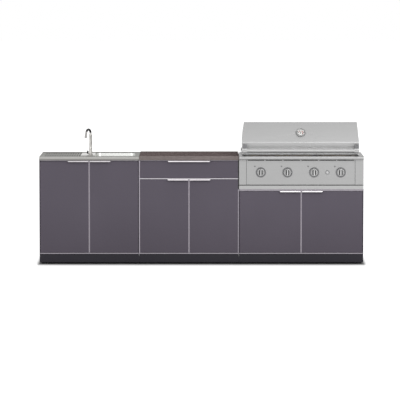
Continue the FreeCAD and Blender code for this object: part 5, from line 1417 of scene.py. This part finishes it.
@dataclass
class Faucet:
    """The faucet: a steel body and riser, a black sleeve over the bend, black cap and lever."""

    foot: Vector = field(default_factory=lambda: Vector((-0.910, -0.070, 0.878)))
    body_height: float = 48.0 * MM
    riser: float = 131.0 * MM
    riser_radius: float = 12.3 * MM
    collar_radius: float = 13.0 * MM
    tube_radius: float = 8.2 * MM
    sleeve_radius: float = 8.9 * MM
    bend: float = 32.0 * MM
    sweep: float = math.radians(165)
    yaw: float = math.radians(-121)
    tip_start: float = 26.0 * MM
    tip_length: float = 18.0 * MM
    tip_radius: float = 9.5 * MM
    sleeve_start: float = math.radians(8)
    sleeve_end: float = math.radians(156)
    sleeve_lip: float = 0.5 * MM
    overlap: float = math.radians(2)
    ease: float = 0.6 * MM
    facets: int = 32
    bend_steps: int = 32
    tip_steps: int = 4
    sleeve_steps: int = 28

    def build(self) -> None:
        """Make the spout and dress the rest."""
        Dressing(FAUCET_STEEL, ["faucet_body"], self.ease).build()
        Dressing(BLACK_COAT, ["faucet_cap", "faucet_lever"], self.ease).build()
        joint = self.sleeve_end - self.overlap
        self.tube(joint)
        self.tip(joint)
        self.sleeve()

    def ring(self, angle: float, along: float, radius: float) -> list[Vector]:
        """A ring square to the spout.

        Args:
            angle: how far round the bend.
            along: how far straight on from there, or back when below zero.
            radius: the ring's radius.

        Returns:
            The points of the ring.
        """
        top = self.foot + Vector((0, 0, self.body_height + self.riser))
        at = Matrix.Translation(top) @ Matrix.Rotation(self.yaw, 4, "Z")
        c, s = math.cos(angle), math.sin(angle)
        middle = Vector((self.bend * (1 - c), 0, self.bend * s)) + Vector((s, 0, c)) * along
        points = []
        for k in range(self.facets):
            turn = math.tau * k / self.facets
            across = Vector((c, 0, -s)) * math.cos(turn) + Vector((0, 1, 0)) * math.sin(turn)
            points.append(at @ (middle + across * radius))
        return points

    def part(
        self, name: str, finish: Finish, rings: Sequence[Sequence[Vector]], first: bool = False
    ) -> None:
        """Hand over a skin through rings of points as a piece of the spout."""
        made = Shape().loft(rings).tidy().piece(f"faucet_spout_{name}", finish, TURNED_SMOOTH)
        deliver(made, "faucet_spout", replaces=first)

    def tube(self, joint: float) -> None:
        """Riser and bend in one smooth skin.

        Args:
            joint: how far round the bend the tube ends and the tip begins.
        """
        r, collar, tube = self.riser_radius, self.collar_radius, self.tube_radius
        # Each station is a height in millimetres above the body and a radius in metres.
        stations = (
            (0.4, r), (1.2, collar), (8, collar), (8.7, r + 0.3 * MM), (9.4, r), (60, r),
            (116, r), (119, r - 0.5 * MM), (124, r - 2.2 * MM), (129, tube + 0.3 * MM),
        )
        rings = [self.ring(0.0, height * MM - self.riser, radius) for height, radius in stations]
        steps = self.bend_steps
        rings += [self.ring(joint * i / steps, 0.0, tube) for i in range(steps + 1)]
        self.part("tube", FAUCET_STEEL, rings, first=True)

    def tip(self, joint: float) -> None:
        """The end of the spout, from under the sleeve into its mouth.

        Args:
            joint: how far round the bend the tube ends and the tip begins.
        """
        tube, tip, steps = self.tube_radius, self.tip_radius, self.tip_steps
        start, end = self.tip_start, self.tip_start + self.tip_length
        stations = (
            (start - 0.4 * MM, tube), (start, tip - 0.6 * MM), (start + 0.8 * MM, tip),
            (end - 0.8 * MM, tip), (end, tip - 0.6 * MM), (end, tip - 1.5 * MM),
            (end - 4 * MM, tip - 1.9 * MM), (end - 9 * MM, tip - 2.1 * MM),
        )
        left = self.sweep - joint
        rings = [self.ring(joint + left * i / steps, 0.0, tube) for i in range(steps + 1)]
        rings += [self.ring(self.sweep, along, radius) for along, radius in stations]
        self.part("tip", TIP_STEEL, rings)

    def sleeve(self) -> None:
        """The black sleeve over the bend, its two ends rounded."""
        start, steps = self.sleeve_start, self.sleeve_steps
        turn = self.sleeve_end - start
        rings = []
        for i in range(steps + 1):
            lip = self.sleeve_lip if i in (0, steps) else 0.0
            rings.append(self.ring(start + turn * i / steps, 0.0, self.sleeve_radius - lip))
        self.part("sleeve", SLEEVE, rings)


@dataclass
class SinkUnit:
    """The steel top with its drainboard, the bowl and the drain."""

    sheet_ease: float = 0.4 * MM
    drain_ease: float = 0.8 * MM
    basket_ease: float = 0.3 * MM

    def build(self) -> None:
        """Dress the top, the bowl and what hangs below it."""
        Dressing(SINK_STEEL, ["sink_top"], self.sheet_ease).build()
        Dressing(LIT_BOWL_STEEL, ["sink_bowl"], self.sheet_ease).build()
        Dressing(PALE_PIPE, ["sink_drain"], self.drain_ease).build()
        Dressing(BRIGHT, ["strainer_basket"], self.basket_ease).build()
        Faucet().build()


@dataclass
class StoneTop:
    """The granite slab, its edges rubbed round."""

    ease: float = 3.5 * MM
    segments: int = 4

    def build(self) -> None:
        """Make the slab."""
        low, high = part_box("granite_worktop")
        shape = Shape().block(low, high).ease(self.ease, self.segments)
        deliver(shape.piece("granite_slab", GRANITE), "granite_worktop")


@dataclass
class Knob:
    """One burner knob: a steel skirt and body, a black inlay of painted shade and a bright bar to
    grip.

    Depths are heights along the knob's own axis, from the face of its bar backwards.
    """

    number: int
    skirt_radius: float = 30.0 * MM
    body_radius: float = 25.0 * MM
    skirt_facets: int = 64
    inlay_width: float = 30.0 * MM
    inlay_depth: tuple[float, float] = (-12.2 * MM, -11.4 * MM)
    inlay_ease: float = 0.4 * MM
    bar_width: float = 10.0 * MM
    bar_depth: tuple[float, float] = (-12.0 * MM, 0.0)
    bar_ease: float = 1.6 * MM
    face_inset: float = 1 * MM
    end_steps: int = 12
    pointer_low: tuple[float, float, float] = (-0.8 * MM, 11 * MM, -0.6 * MM)
    pointer_high: tuple[float, float, float] = (0.8 * MM, 21 * MM, -0.02 * MM)
    pointer_ease: float = 0.15 * MM
    shaft_half: float = 4.0 * MM
    shaft_depth: tuple[float, float] = (-62 * MM, -30.5 * MM)
    shaft_ease: float = 0.4 * MM
    ribs: int = 44
    rib_inset: float = 0.75 * MM
    rib_section: Outline = ((-0.4, -0.6), (0.5, -0.25), (0.5, 0.25), (-0.4, 0.6))
    rib_depth: tuple[float, float] = (-22.2 * MM, -14.6 * MM)

    def __post_init__(self) -> None:
        """Find the knob's node and the middle of its face."""
        self.node = f"knob_{self.number}"
        low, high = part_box(self.node)
        self.at = facing((low.x + high.x) / 2, low.y, (low.z + high.z) / 2)

    def build(self) -> None:
        """Make skirt, shaft, inlay, bar, pointer line and ribs."""
        self.skirt()
        half, (back, front) = self.shaft_half, self.shaft_depth
        shaft = Shape().block((-half, -half, back), (half, half, front)).ease(self.shaft_ease)
        self.part("shaft", ZINC, shaft)
        # Painted shade: the black inlay beside the bar.
        inlay = self.stadium(self.inlay_width, self.inlay_depth, self.inlay_ease)
        self.part("inlay", KNOB_SHADE_INLAY, inlay)
        self.part("bar", KNOB_BRIGHT, self.stadium(self.bar_width, self.bar_depth, self.bar_ease))
        line = Shape().block(self.pointer_low, self.pointer_high).ease(self.pointer_ease)
        self.part("pointer", DIAL_INK, line)
        self.grip()

    def part(self, name: str, finish: Finish, shape: Shape) -> None:
        """Put a shape that was made flat on the knob."""
        made = shape.moved(self.at).piece(f"{self.node}_{name}", finish, TURNED_SMOOTH)
        deliver(made, self.node, replaces=False)

    def skirt(self) -> None:
        """The skirt and the body in one turned piece."""
        r, b = self.skirt_radius, self.body_radius
        # Each step is a radius in metres and a height in millimetres.
        steps = (
            (0, -31), (r - 1 * MM, -31), (r, -30), (r, -24.6), (r - 1.4 * MM, -23),
            (b + 1.2 * MM, -23), (b - 0.6 * MM, -22), (b - 0.8 * MM, -14.2),
            (b - 2.4 * MM, -12), (0, -12),
        )
        profile = [(radius, height * MM) for radius, height in steps]
        turned = Shape().turned(profile, self.at, self.skirt_facets)
        deliver(turned.piece(f"{self.node}_skirt", KNOB_STEEL, TURNED_SMOOTH), self.node)

    def stadium(self, width: float, depth: tuple[float, float], ease: float) -> Shape:
        """A bar with round ends across the face of the knob.

        Args:
            width: the bar's width.
            depth: where it starts and ends along the knob's axis.
            ease: the rounding of its edges.

        Returns:
            The bar.
        """
        half, reach = width / 2, self.body_radius - self.face_inset
        outline = []
        for end, start in ((1, 0), (-1, 180)):
            for i in range(self.end_steps + 1):
                angle = math.radians(start + 180 * i / self.end_steps)
                c, s = math.cos(angle), math.sin(angle)
                outline.append((half * c, end * (reach - half) + half * s))
        return Shape().prism(outline, Axis.Z, *depth).ease(ease, segments=3, sharper=40)

    def grip(self) -> None:
        """Fine ribs around the body."""
        r = self.body_radius - self.rib_inset
        section = [(r + a, b) for a, b in in_metres(self.rib_section)]
        rib = Shape().prism(section, Axis.Z, *self.rib_depth).tidy()
        made = rib.piece(f"{self.node}_ribs", KNOB_STEEL)
        ring = Repeater(Layout.RING, self.ribs, (0.0, 0.0, math.tau / self.ribs))
        deliver(ring.spread(made, KNOB_STEEL, self.at), self.node, replaces=False)


@dataclass
class ControlPanel:
    """The panel with its knobs, rings, button and burner marks.

    Profiles are radii and heights in millimetres, from the face that they stand on.
    """

    knobs: tuple[int, ...] = (1, 2, 3, 4)
    knob_pitch: float = 217.0 * MM
    panel_ease: float = 0.6 * MM
    plug_ease: float = 0.2 * MM
    ring_profile: Outline = (
        (33, -5), (33, -1.2), (33.8, -0.1), (35, 0), (39.4, -0.6), (40.8, -2.2), (41, -5),
    )
    ring_facets: int = 72
    collar_profile: Outline = (
        (11.3, -1), (12, 0), (15.6, 0), (17, -1.4), (17, -4), (14, -4), (14, -24.8),
        (0, -24.8), (0, -22.8), (11.3, -22.8),
    )
    button_profile: Outline = (
        (0, -21), (10.6, -21), (11, -20.6), (11, -1.4), (10, -0.3), (8.6, 0), (7, -0.5),
        (3, -0.9), (0, -1),
    )
    mark_profile: Outline = ((2.6, 0), (2.6, 0.25), (5.8, 0.25), (5.8, 0))
    mark_away: float = 49.0 * MM
    mark_facets: int = 24
    ring_stand: float = 5 * MM
    end_reach: float = 88.5 * MM
    seam: float = 2.4 * MM
    seam_half: float = 0.3 * MM
    shade_strip_ease: float = 0.12 * MM

    def __post_init__(self) -> None:
        """Find the middle of the first knob and the face of the rings."""
        low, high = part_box("knob_1")
        self.x, self.z = (low.x + high.x) / 2, (low.z + high.z) / 2
        self.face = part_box("panel_rings")[0].y
        self.row = Repeater(Layout.ROW, len(self.knobs), (self.knob_pitch, 0, 0))

    def build(self) -> None:
        """Dress the panel and make what sits on it."""
        Dressing(SHADED_PANEL_STEEL, ["control_panel"], self.panel_ease, weighted=True).build()
        for number in self.knobs:
            Knob(number).build()
        Dressing(BRASS, [f"valve_plug_{number}" for number in self.knobs], self.plug_ease).build()
        self.rings()
        self.igniter()
        self.marks()
        self.shade_strips()

    def rings(self) -> None:
        """Four rings around the knobs."""
        at = facing(self.x, self.face, self.z)
        shape = Shape().turned(in_metres(self.ring_profile), at, self.ring_facets)
        made = shape.piece("knob_rings", SHADED_RING_STEEL, TURNED_SMOOTH)
        deliver(self.row.spread(made, SHADED_RING_STEEL), "panel_rings")

    def igniter(self) -> None:
        """The push button in its collar and barrel."""
        low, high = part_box("igniter_button")
        x, z = (low.x + high.x) / 2, (low.z + high.z) / 2
        collar = Shape().turned(in_metres(self.collar_profile), facing(x, self.face, z))
        made = collar.piece("igniter_collar", COLLAR_STEEL, TURNED_SMOOTH)
        deliver(made, "panel_rings", replaces=False)
        button = Shape().turned(in_metres(self.button_profile), facing(x, low.y, z))
        deliver(button.piece("igniter_push_button", BUTTON, TURNED_SMOOTH), "igniter_button")

    def marks(self) -> None:
        """A small round mark above and to the left of each knob."""
        x, z = self.x - self.mark_away, self.z + self.mark_away
        at = facing(x, self.face + self.ring_stand, z)
        shape = Shape().turned(in_metres(self.mark_profile), at, self.mark_facets)
        made = self.row.spread(shape.piece("burner_marks", DIAL_INK), DIAL_INK)
        deliver(made, "control_panel", replaces=False)

    def shade_strips(self) -> None:
        """Black strips of painted shade: behind the slots, under the panel's lower edge and at its
        two sides.
        """
        bottom, top = (corner.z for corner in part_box("control_panel"))
        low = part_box("knob_1")[0].x - self.end_reach
        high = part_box("knob_4")[1].x + self.end_reach
        y, half = self.face + self.ring_stand, self.seam_half
        strips = {
            "behind_slots": (
                (low + 3 * MM, y + 2.2 * MM, top - 13 * MM),
                (high - 3 * MM, y + 2.8 * MM, top - 2.1 * MM),
            ),
            "under_panel": (
                (low + 1 * MM, y + 3 * MM, bottom - 2.8 * MM),
                (high - 1 * MM, y + 4 * MM, bottom),
            ),
            "left_side": ((low, y - half, bottom), (low + self.seam, y + half, top)),
            "right_side": ((high - self.seam, y - half, bottom), (high, y + half, top)),
        }
        # Painted shade: each strip is black where a gap or slot lies in shade.
        for name, (start, end) in strips.items():
            shape = Shape().block(start, end).ease(self.shade_strip_ease)
            deliver(shape.piece(f"panel_shade_strip_{name}", SHADE_BLACK), "control_panel", replaces=False)


@dataclass
class Gauge:
    """The round thermometer on the sloping face of the lid.

    The lid's face runs from its bend up to its crest, each a (y, z) place. Profiles are radii and
    heights in millimetres, from that face.
    """

    bend: tuple[float, float] = (-0.258, 0.992)
    crest: tuple[float, float] = (-0.153, 1.155)
    rise: float = 77.0 * MM
    rim_profile: Outline = (
        (0, -60), (2.6, -60), (3, -59), (3, 0), (39, 0), (39, 7.4), (38.2, 9.6), (36.2, 11.6),
        (33, 12), (30.6, 11.4), (29.6, 10), (29.2, 7), (0, 7),
    )
    dial_profile: Outline = ((0, 7.05), (29, 7.05), (29, 7.4), (28.6, 7.6), (0, 7.6))
    hub_profile: Outline = ((0, 7.5), (3.2, 7.5), (3.2, 8.9), (2.4, 9.6), (0, 9.8))
    lens_profile: Outline = ((0, 10.2), (29.1, 10.2), (29.1, 10.6), (0, 11.2))
    first_angle: float = math.radians(225)
    sweep: float = math.radians(270)
    numbers: int = 7
    number_size: float = 6 * MM
    number_thickness: float = 0.1 * MM
    number_place: tuple[float, float] = (12.5 * MM, 7.7 * MM)
    short_marks: int = 31
    mark_end: float = 27.6
    mark_height: tuple[float, float] = (7.55, 7.75)
    zone_radii: tuple[float, float] = (16, 20.5)
    zone_turn: tuple[float, float] = (-45, 45)
    zone_height: tuple[float, float] = (7.5, 7.7)
    zone_steps: int = 24
    needle_outline: Outline = ((-1.5, -7), (1.5, -7), (0.5, 21), (-0.5, 21))
    needle_height: tuple[float, float] = (8.4 * MM, 8.9 * MM)
    needle_ease: float = 0.15 * MM
    needle_turn: float = math.radians(60)

    def __post_init__(self) -> None:
        """Find the place on the lid's face, square to it."""
        low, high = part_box("lid_thermometer")
        run, climb = self.crest[0] - self.bend[0], self.crest[1] - self.bend[1]
        y, z = self.bend[0] + run * self.rise / climb, self.bend[1] + self.rise
        self.at = facing((low.x + high.x) / 2, y, z, math.atan2(run, climb))

    def build(self) -> None:
        """Make the rim, the dial, its marks and numbers, the needle and the lens."""
        self.turned("gauge_rim", GAUGE_STEEL, self.rim_profile, facets=80, first=True)
        self.turned("gauge_dial", DIAL_WHITE, self.dial_profile)
        self.ticks("dial_long_marks", self.numbers, inner=22, half=0.7)
        self.ticks("dial_short_marks", self.short_marks, inner=25, half=0.35)
        self.zone()
        self.figures()
        self.needle()
        self.turned("gauge_hub", DIAL_INK, self.hub_profile, facets=24)
        self.turned("gauge_lens", LENS, self.lens_profile)

    def part(self, name: str, finish: Finish, shape: Shape, first: bool = False) -> None:
        """Put a shape that was made flat on the dial where it belongs."""
        made = shape.moved(self.at).piece(name, finish, TURNED_SMOOTH)
        deliver(made, "lid_thermometer", replaces=first)

    def turned(
        self, name: str, finish: Finish, profile: Outline, facets: int = 64, first: bool = False
    ) -> None:
        """A turned piece in the middle of the gauge."""
        self.part(name, finish, Shape().turned(in_metres(profile), Matrix(), facets), first)

    def ticks(self, name: str, count: int, inner: float, half: float) -> None:
        """Marks around the dial, made by geometry nodes.

        Args:
            name: the piece's name.
            count: how many marks.
            inner: where they start, in millimetres from the middle.
            half: half their width, in millimetres.
        """
        low, high = self.mark_height
        start = (inner * MM, -half * MM, low * MM)
        end = (self.mark_end * MM, half * MM, high * MM)
        made = Shape().block(start, end).tidy().piece(name, DIAL_INK)
        ring = Repeater(Layout.RING, count, (0.0, 0.0, -self.sweep / (count - 1)))
        at = self.at @ Matrix.Rotation(self.first_angle, 4, "Z")
        deliver(ring.spread(made, DIAL_INK, at), "lid_thermometer", replaces=False)

    def zone(self) -> None:
        """The red part of the scale, a flat piece of a ring."""
        (inner, outer), (low, high) = self.zone_radii, self.zone_height
        section = ((inner, low), (outer, low), (outer, high), (inner, high))
        start, end = self.zone_turn
        rings = []
        for i in range(self.zone_steps + 1):
            angle = math.radians(start + (end - start) * i / self.zone_steps)
            c, s = math.cos(angle) * MM, math.sin(angle) * MM
            rings.append([(r * c, r * s, h * MM) for r, h in section])
        self.part("gauge_hot_zone", DIAL_RED, Shape().loft(rings).tidy())

    def figures(self) -> None:
        """Plain numbers from 1 at the long marks."""
        away, height = self.number_place
        for i in range(self.numbers):
            angle = self.first_angle - self.sweep * i / (self.numbers - 1)
            place = Vector((math.cos(angle), math.sin(angle), 0)) * away + Vector((0, 0, height))
            shape = self.figure(str(i + 1)).moved(Matrix.Translation(place)).tidy()
            self.part(f"gauge_number_{i + 1}", DIAL_INK, shape)

    def figure(self, body: str) -> Shape:
        """A flat number, made a mesh from text.

        Args:
            body: what it says.

        Returns:
            The shape, in the middle of the dial.
        """
        text = bpy.data.curves.new("figure", "FONT")
        text.body = body
        text.size = self.number_size
        text.align_x, text.align_y = "CENTER", "CENTER"
        text.extrude = self.number_thickness
        made = bpy.data.objects.new("figure", text)
        bpy.context.scene.collection.objects.link(made)
        bpy.context.view_layer.update()
        graph = bpy.context.evaluated_depsgraph_get()
        mesh = bpy.data.meshes.new_from_object(made.evaluated_get(graph))
        bpy.data.objects.remove(made)
        shape = Shape()
        shape.bm.from_mesh(mesh)
        bpy.data.meshes.remove(mesh)
        return shape

    def needle(self) -> None:
        """The red needle."""
        outline = in_metres(self.needle_outline)
        shape = Shape().prism(outline, Axis.Z, *self.needle_height).ease(self.needle_ease)
        turn = Matrix.Rotation(self.needle_turn, 4, "Z")
        self.part("gauge_needle", DIAL_RED, shape.moved(turn))


@dataclass
class LidHandle:
    """The tube across the lid and its two brackets.

    Outlines are (y, z) in millimetres. Stations are a distance from the bracket and a radius.
    """

    y: float = -0.304
    z: float = 0.930
    bracket: float = 38.0 * MM
    bracket_outline: Outline = (
        (-244.2, 915), (-249.9, 946.5), (-313, 946.5), (-317, 943), (-317, 915),
    )
    bracket_ease: float = 2.2 * MM
    gusset_outline: Outline = ((-249.9, 946.5), (-254.2, 971), (-291, 971), (-312, 946.5))
    gusset_inset: float = 2.5 * MM
    gusset_ease: float = 1.5 * MM
    stations: Outline = (
        (-2, 13), (0.2, 13), (0.4, 14), (1.2, 14.6), (7, 14.6), (7.8, 14), (8, 13),
    )
    facets: int = 40

    def build(self) -> None:
        """Make the brackets, and the tube between them."""
        low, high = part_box("lid_handle")
        self.end("left", low.x)
        self.end("right", high.x - self.bracket)
        self.tube(low.x + self.bracket, high.x - self.bracket)

    def end(self, side: str, start: float) -> None:
        """One bracket with the gusset on top of it, coated darker as painted shade.

        Args:
            side: which end it is for.
            start: where it starts across the lid.
        """
        end, inset = start + self.bracket, self.gusset_inset
        bracket = Shape().prism(in_metres(self.bracket_outline), Axis.X, start, end)
        bracket.ease(self.bracket_ease, segments=3)
        made = bracket.piece(f"handle_{side}_bracket", GRILL_STEEL)
        deliver(made, "lid_handle", replaces=side == "left")
        # Painted shade: the gusset's darker coat.
        gusset = Shape().prism(in_metres(self.gusset_outline), Axis.X, start + inset, end - inset)
        made = gusset.ease(self.gusset_ease).piece(f"handle_{side}_gusset", SHADED_GUSSET)
        deliver(made, "lid_handle", replaces=False)

    def tube(self, start: float, end: float) -> None:
        """The tube with a collar at each end.

        Args:
            start: where it starts across the lid.
            end: where it ends.
        """
        stations = in_metres(self.stations)
        path = [(start + away, r) for away, r in stations]
        path += [(end - away, r) for away, r in reversed(stations)]
        turns = [math.tau * k / self.facets for k in range(self.facets)]
        rings = [
            [(x, self.y + r * math.cos(turn), self.z + r * math.sin(turn)) for turn in turns]
            for x, r in path
        ]
        made = Shape().loft(rings).tidy().piece("handle_tube", HANDLE, TURNED_SMOOTH)
        deliver(made, "lid_handle", replaces=False)


@dataclass
class GrillHead:
    """The grill: casing, deck, panel, tray, fire parts and lid."""

    casing_ease: float = 0.5 * MM
    fire_ease: float = 0.4 * MM
    grate_ease: float = 1.0 * MM
    sheet_ease: float = 0.6 * MM
    runner_ease: float = 0.3 * MM
    lid_ease: float = 0.5 * MM
    lid_smooth: float = 24.0

    def build(self) -> None:
        """Dress the grill from the inside out."""
        fire = ["grill_firebox", "burners", "flame_tamers"]
        Dressing(CASING_STEEL, ["grill_casing"], self.casing_ease).build()
        Dressing(HEATED, fire, self.fire_ease).build()
        Dressing(ZINC, ["gas_rail"], self.fire_ease).build()
        Dressing(IRON, ["cooking_grates"], self.grate_ease).build()
        Dressing(BRIGHT, ["warming_rack"], self.sheet_ease).build()
        Dressing(GRILL_STEEL, ["grill_deck", "lid_hinges"], self.sheet_ease).build()
        Dressing(TRAY_STEEL, ["drip_tray"], self.sheet_ease).build()
        Dressing(ZINC, ["tray_runners"], self.runner_ease).build()
        ControlPanel().build()
        Dressing(LID_STEEL, ["lid_shell"], self.lid_ease, smooth=self.lid_smooth).build()
        LidHandle().build()
        Gauge().build()


def seen_directly(g: ShaderGraph) -> Socket:
    """One for the rays that look at the background itself or at its mirror image.

    Args:
        g: the nodes of the material.

    Returns:
        The share.
    """
    path = g.add("ShaderNodeLightPath").outputs
    mirrored = g.math("MAXIMUM", path["Is Glossy Ray"], path["Is Transmission Ray"])
    return g.math("MAXIMUM", path["Is Camera Ray"], mirrored)


@dataclass(frozen=True)
class StudioPaper(Finish):
    """The white of the floor, with a painted shadow that is darkest close to the object's foot."""

    papers: tuple[float, float] = (0.8, 0.82)
    paper_scale: float = 3.0
    shadow: float = 0.25
    shadow_reach: float = 0.16
    dull: float = 0.28
    glow: float = 0.6
    glow_reach: tuple[float, float] = (0.03, 0.22)
    side_falloff: float = 6.0

    def paint(self, g: ShaderGraph) -> Socket:
        """Matt and softly lit where it is looked at, its glow faded near the foot as a painted
        shadow, dull where it lights the object.

        Args:
            g: the nodes of the material.

        Returns:
            The shader's output.
        """
        away = self.away_from_foot(g)
        paper = g.blend(g.noise(self.paper_scale, 2), *map(grey, self.papers))
        # Painted shadow: darker paper and less glow close to the foot.
        near = g.blend(g.span(away, 0.0, self.shadow_reach), grey(self.shadow), paper)
        strength = g.span(away, *self.glow_reach, 0.0, self.glow)
        glow = g.add("ShaderNodeEmission", {"Strength": strength}).outputs[0]
        lit = g.add("ShaderNodeAddShader", {0: g.matt(near), 1: glow}).outputs[0]
        return g.cover(seen_directly(g), g.matt(grey(self.dull)), lit)

    def away_from_foot(self, g: ShaderGraph) -> Socket:
        """How far a place on the floor is from the object's foot, counted more at its ends.

        Args:
            g: the nodes of the material.

        Returns:
            The distance.
        """
        low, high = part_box("toe_kicks")
        place = g.parts()
        squares = []
        for axis, weight in ((Axis.X.value, self.side_falloff), (Axis.Y.value, 1.0)):
            middle, half = (low[axis] + high[axis]) / 2, (high[axis] - low[axis]) / 2
            off = g.math("ABSOLUTE", g.math("SUBTRACT", place[axis], middle))
            gap = g.times(g.math("MAXIMUM", g.math("SUBTRACT", off, half), 0.0), weight)
            squares.append(g.times(gap, gap))
        return g.math("SQRT", g.math("ADD", *squares))


@dataclass
class Studio:
    """Floor, light and camera."""

    distance: float = 24.4
    height: float = 2.55
    aim_height: float = 0.5249
    aim_x: float = -0.0117
    lens: float = 270.4
    sensor: float = 36.0
    clip_end: float = 200.0
    floor_reach: float = 60.0
    soft: float = 0.82
    lamp_aim: tuple[float, float, float] = (0, 0, 0.6)

    def build(self) -> None:
        """Set up the whole studio."""
        self.world()
        self.floor()
        self.lamp("lamp_front_left", (-3.2, -5.5, 4.6), 4.0, 90.0)
        self.lamp("lamp_front_right", (2.6, -5.0, 3.8), 3.0, 110.0)
        self.camera()

    def world(self) -> None:
        """White where it is looked at, softer where it lights."""
        world = bpy.data.worlds.new("studio_white")
        bpy.context.scene.world = world
        world.use_nodes = True
        world.node_tree.nodes.clear()
        g = ShaderGraph(world.node_tree)
        soft, white = (
            g.add("ShaderNodeBackground", {"Color": grey(1.0), "Strength": strength}).outputs[0]
            for strength in (self.soft, 1.0)
        )
        g.add("ShaderNodeOutputWorld", {"Surface": g.cover(seen_directly(g), soft, white)})

    def floor(self) -> None:
        """The floor, level with the object's foot."""
        r = self.floor_reach
        shape = Shape()
        shape.face([(-r, -r, 0), (r, -r, 0), (r, r, 0), (-r, r, 0)])
        made = shape.piece("studio_floor", StudioPaper("studio_paper"))

    def lamp(self, name: str, place: tuple[float, float, float], size: float, power: float) -> None:
        """A broad soft lamp in front and above.

        Args:
            name: the lamp's name.
            place: where it hangs.
            size: the side of its square, in metres.
            power: its power in watts.
        """
        data = bpy.data.lights.new(name, "AREA")
        data.shape = "SQUARE"
        data.size = size
        data.energy = power
        made = bpy.data.objects.new(name, data)
        self.look(made, Vector(place), Vector(self.lamp_aim))

    def camera(self) -> None:
        """A long lens straight in front, a little above the lid."""
        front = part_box("sink_door_left")[0].y
        data = bpy.data.cameras.new("camera")
        data.lens = self.lens
        data.sensor_width = self.sensor
        data.clip_end = self.clip_end
        made = bpy.data.objects.new("camera", data)
        place = Vector((self.aim_x, front - self.distance, self.height))
        self.look(made, place, Vector((self.aim_x, front, self.aim_height)))
        bpy.context.scene.camera = made

    def look(self, made: bpy.types.Object, place: Vector, aim: Vector) -> None:
        """Put a lamp or a camera at a place, looking at another.

        Args:
            made: the lamp or camera.
            place: where it goes.
            aim: what it looks at.
        """
        made.location = place
        made.rotation_euler = (aim - place).to_track_quat("-Z", "Y").to_euler()
        bpy.context.scene.collection.objects.link(made)


def main() -> None:
    """Build the pieces in order."""
    logging.basicConfig(level=logging.INFO, format="%(message)s")
    bpy.context.scene.view_settings.view_transform = "Standard"
    for part in (CabinetRow(), SinkUnit(), StoneTop(), GrillHead()):
        part.build()
    Studio().build()


if __name__ == "__main__":
    main()
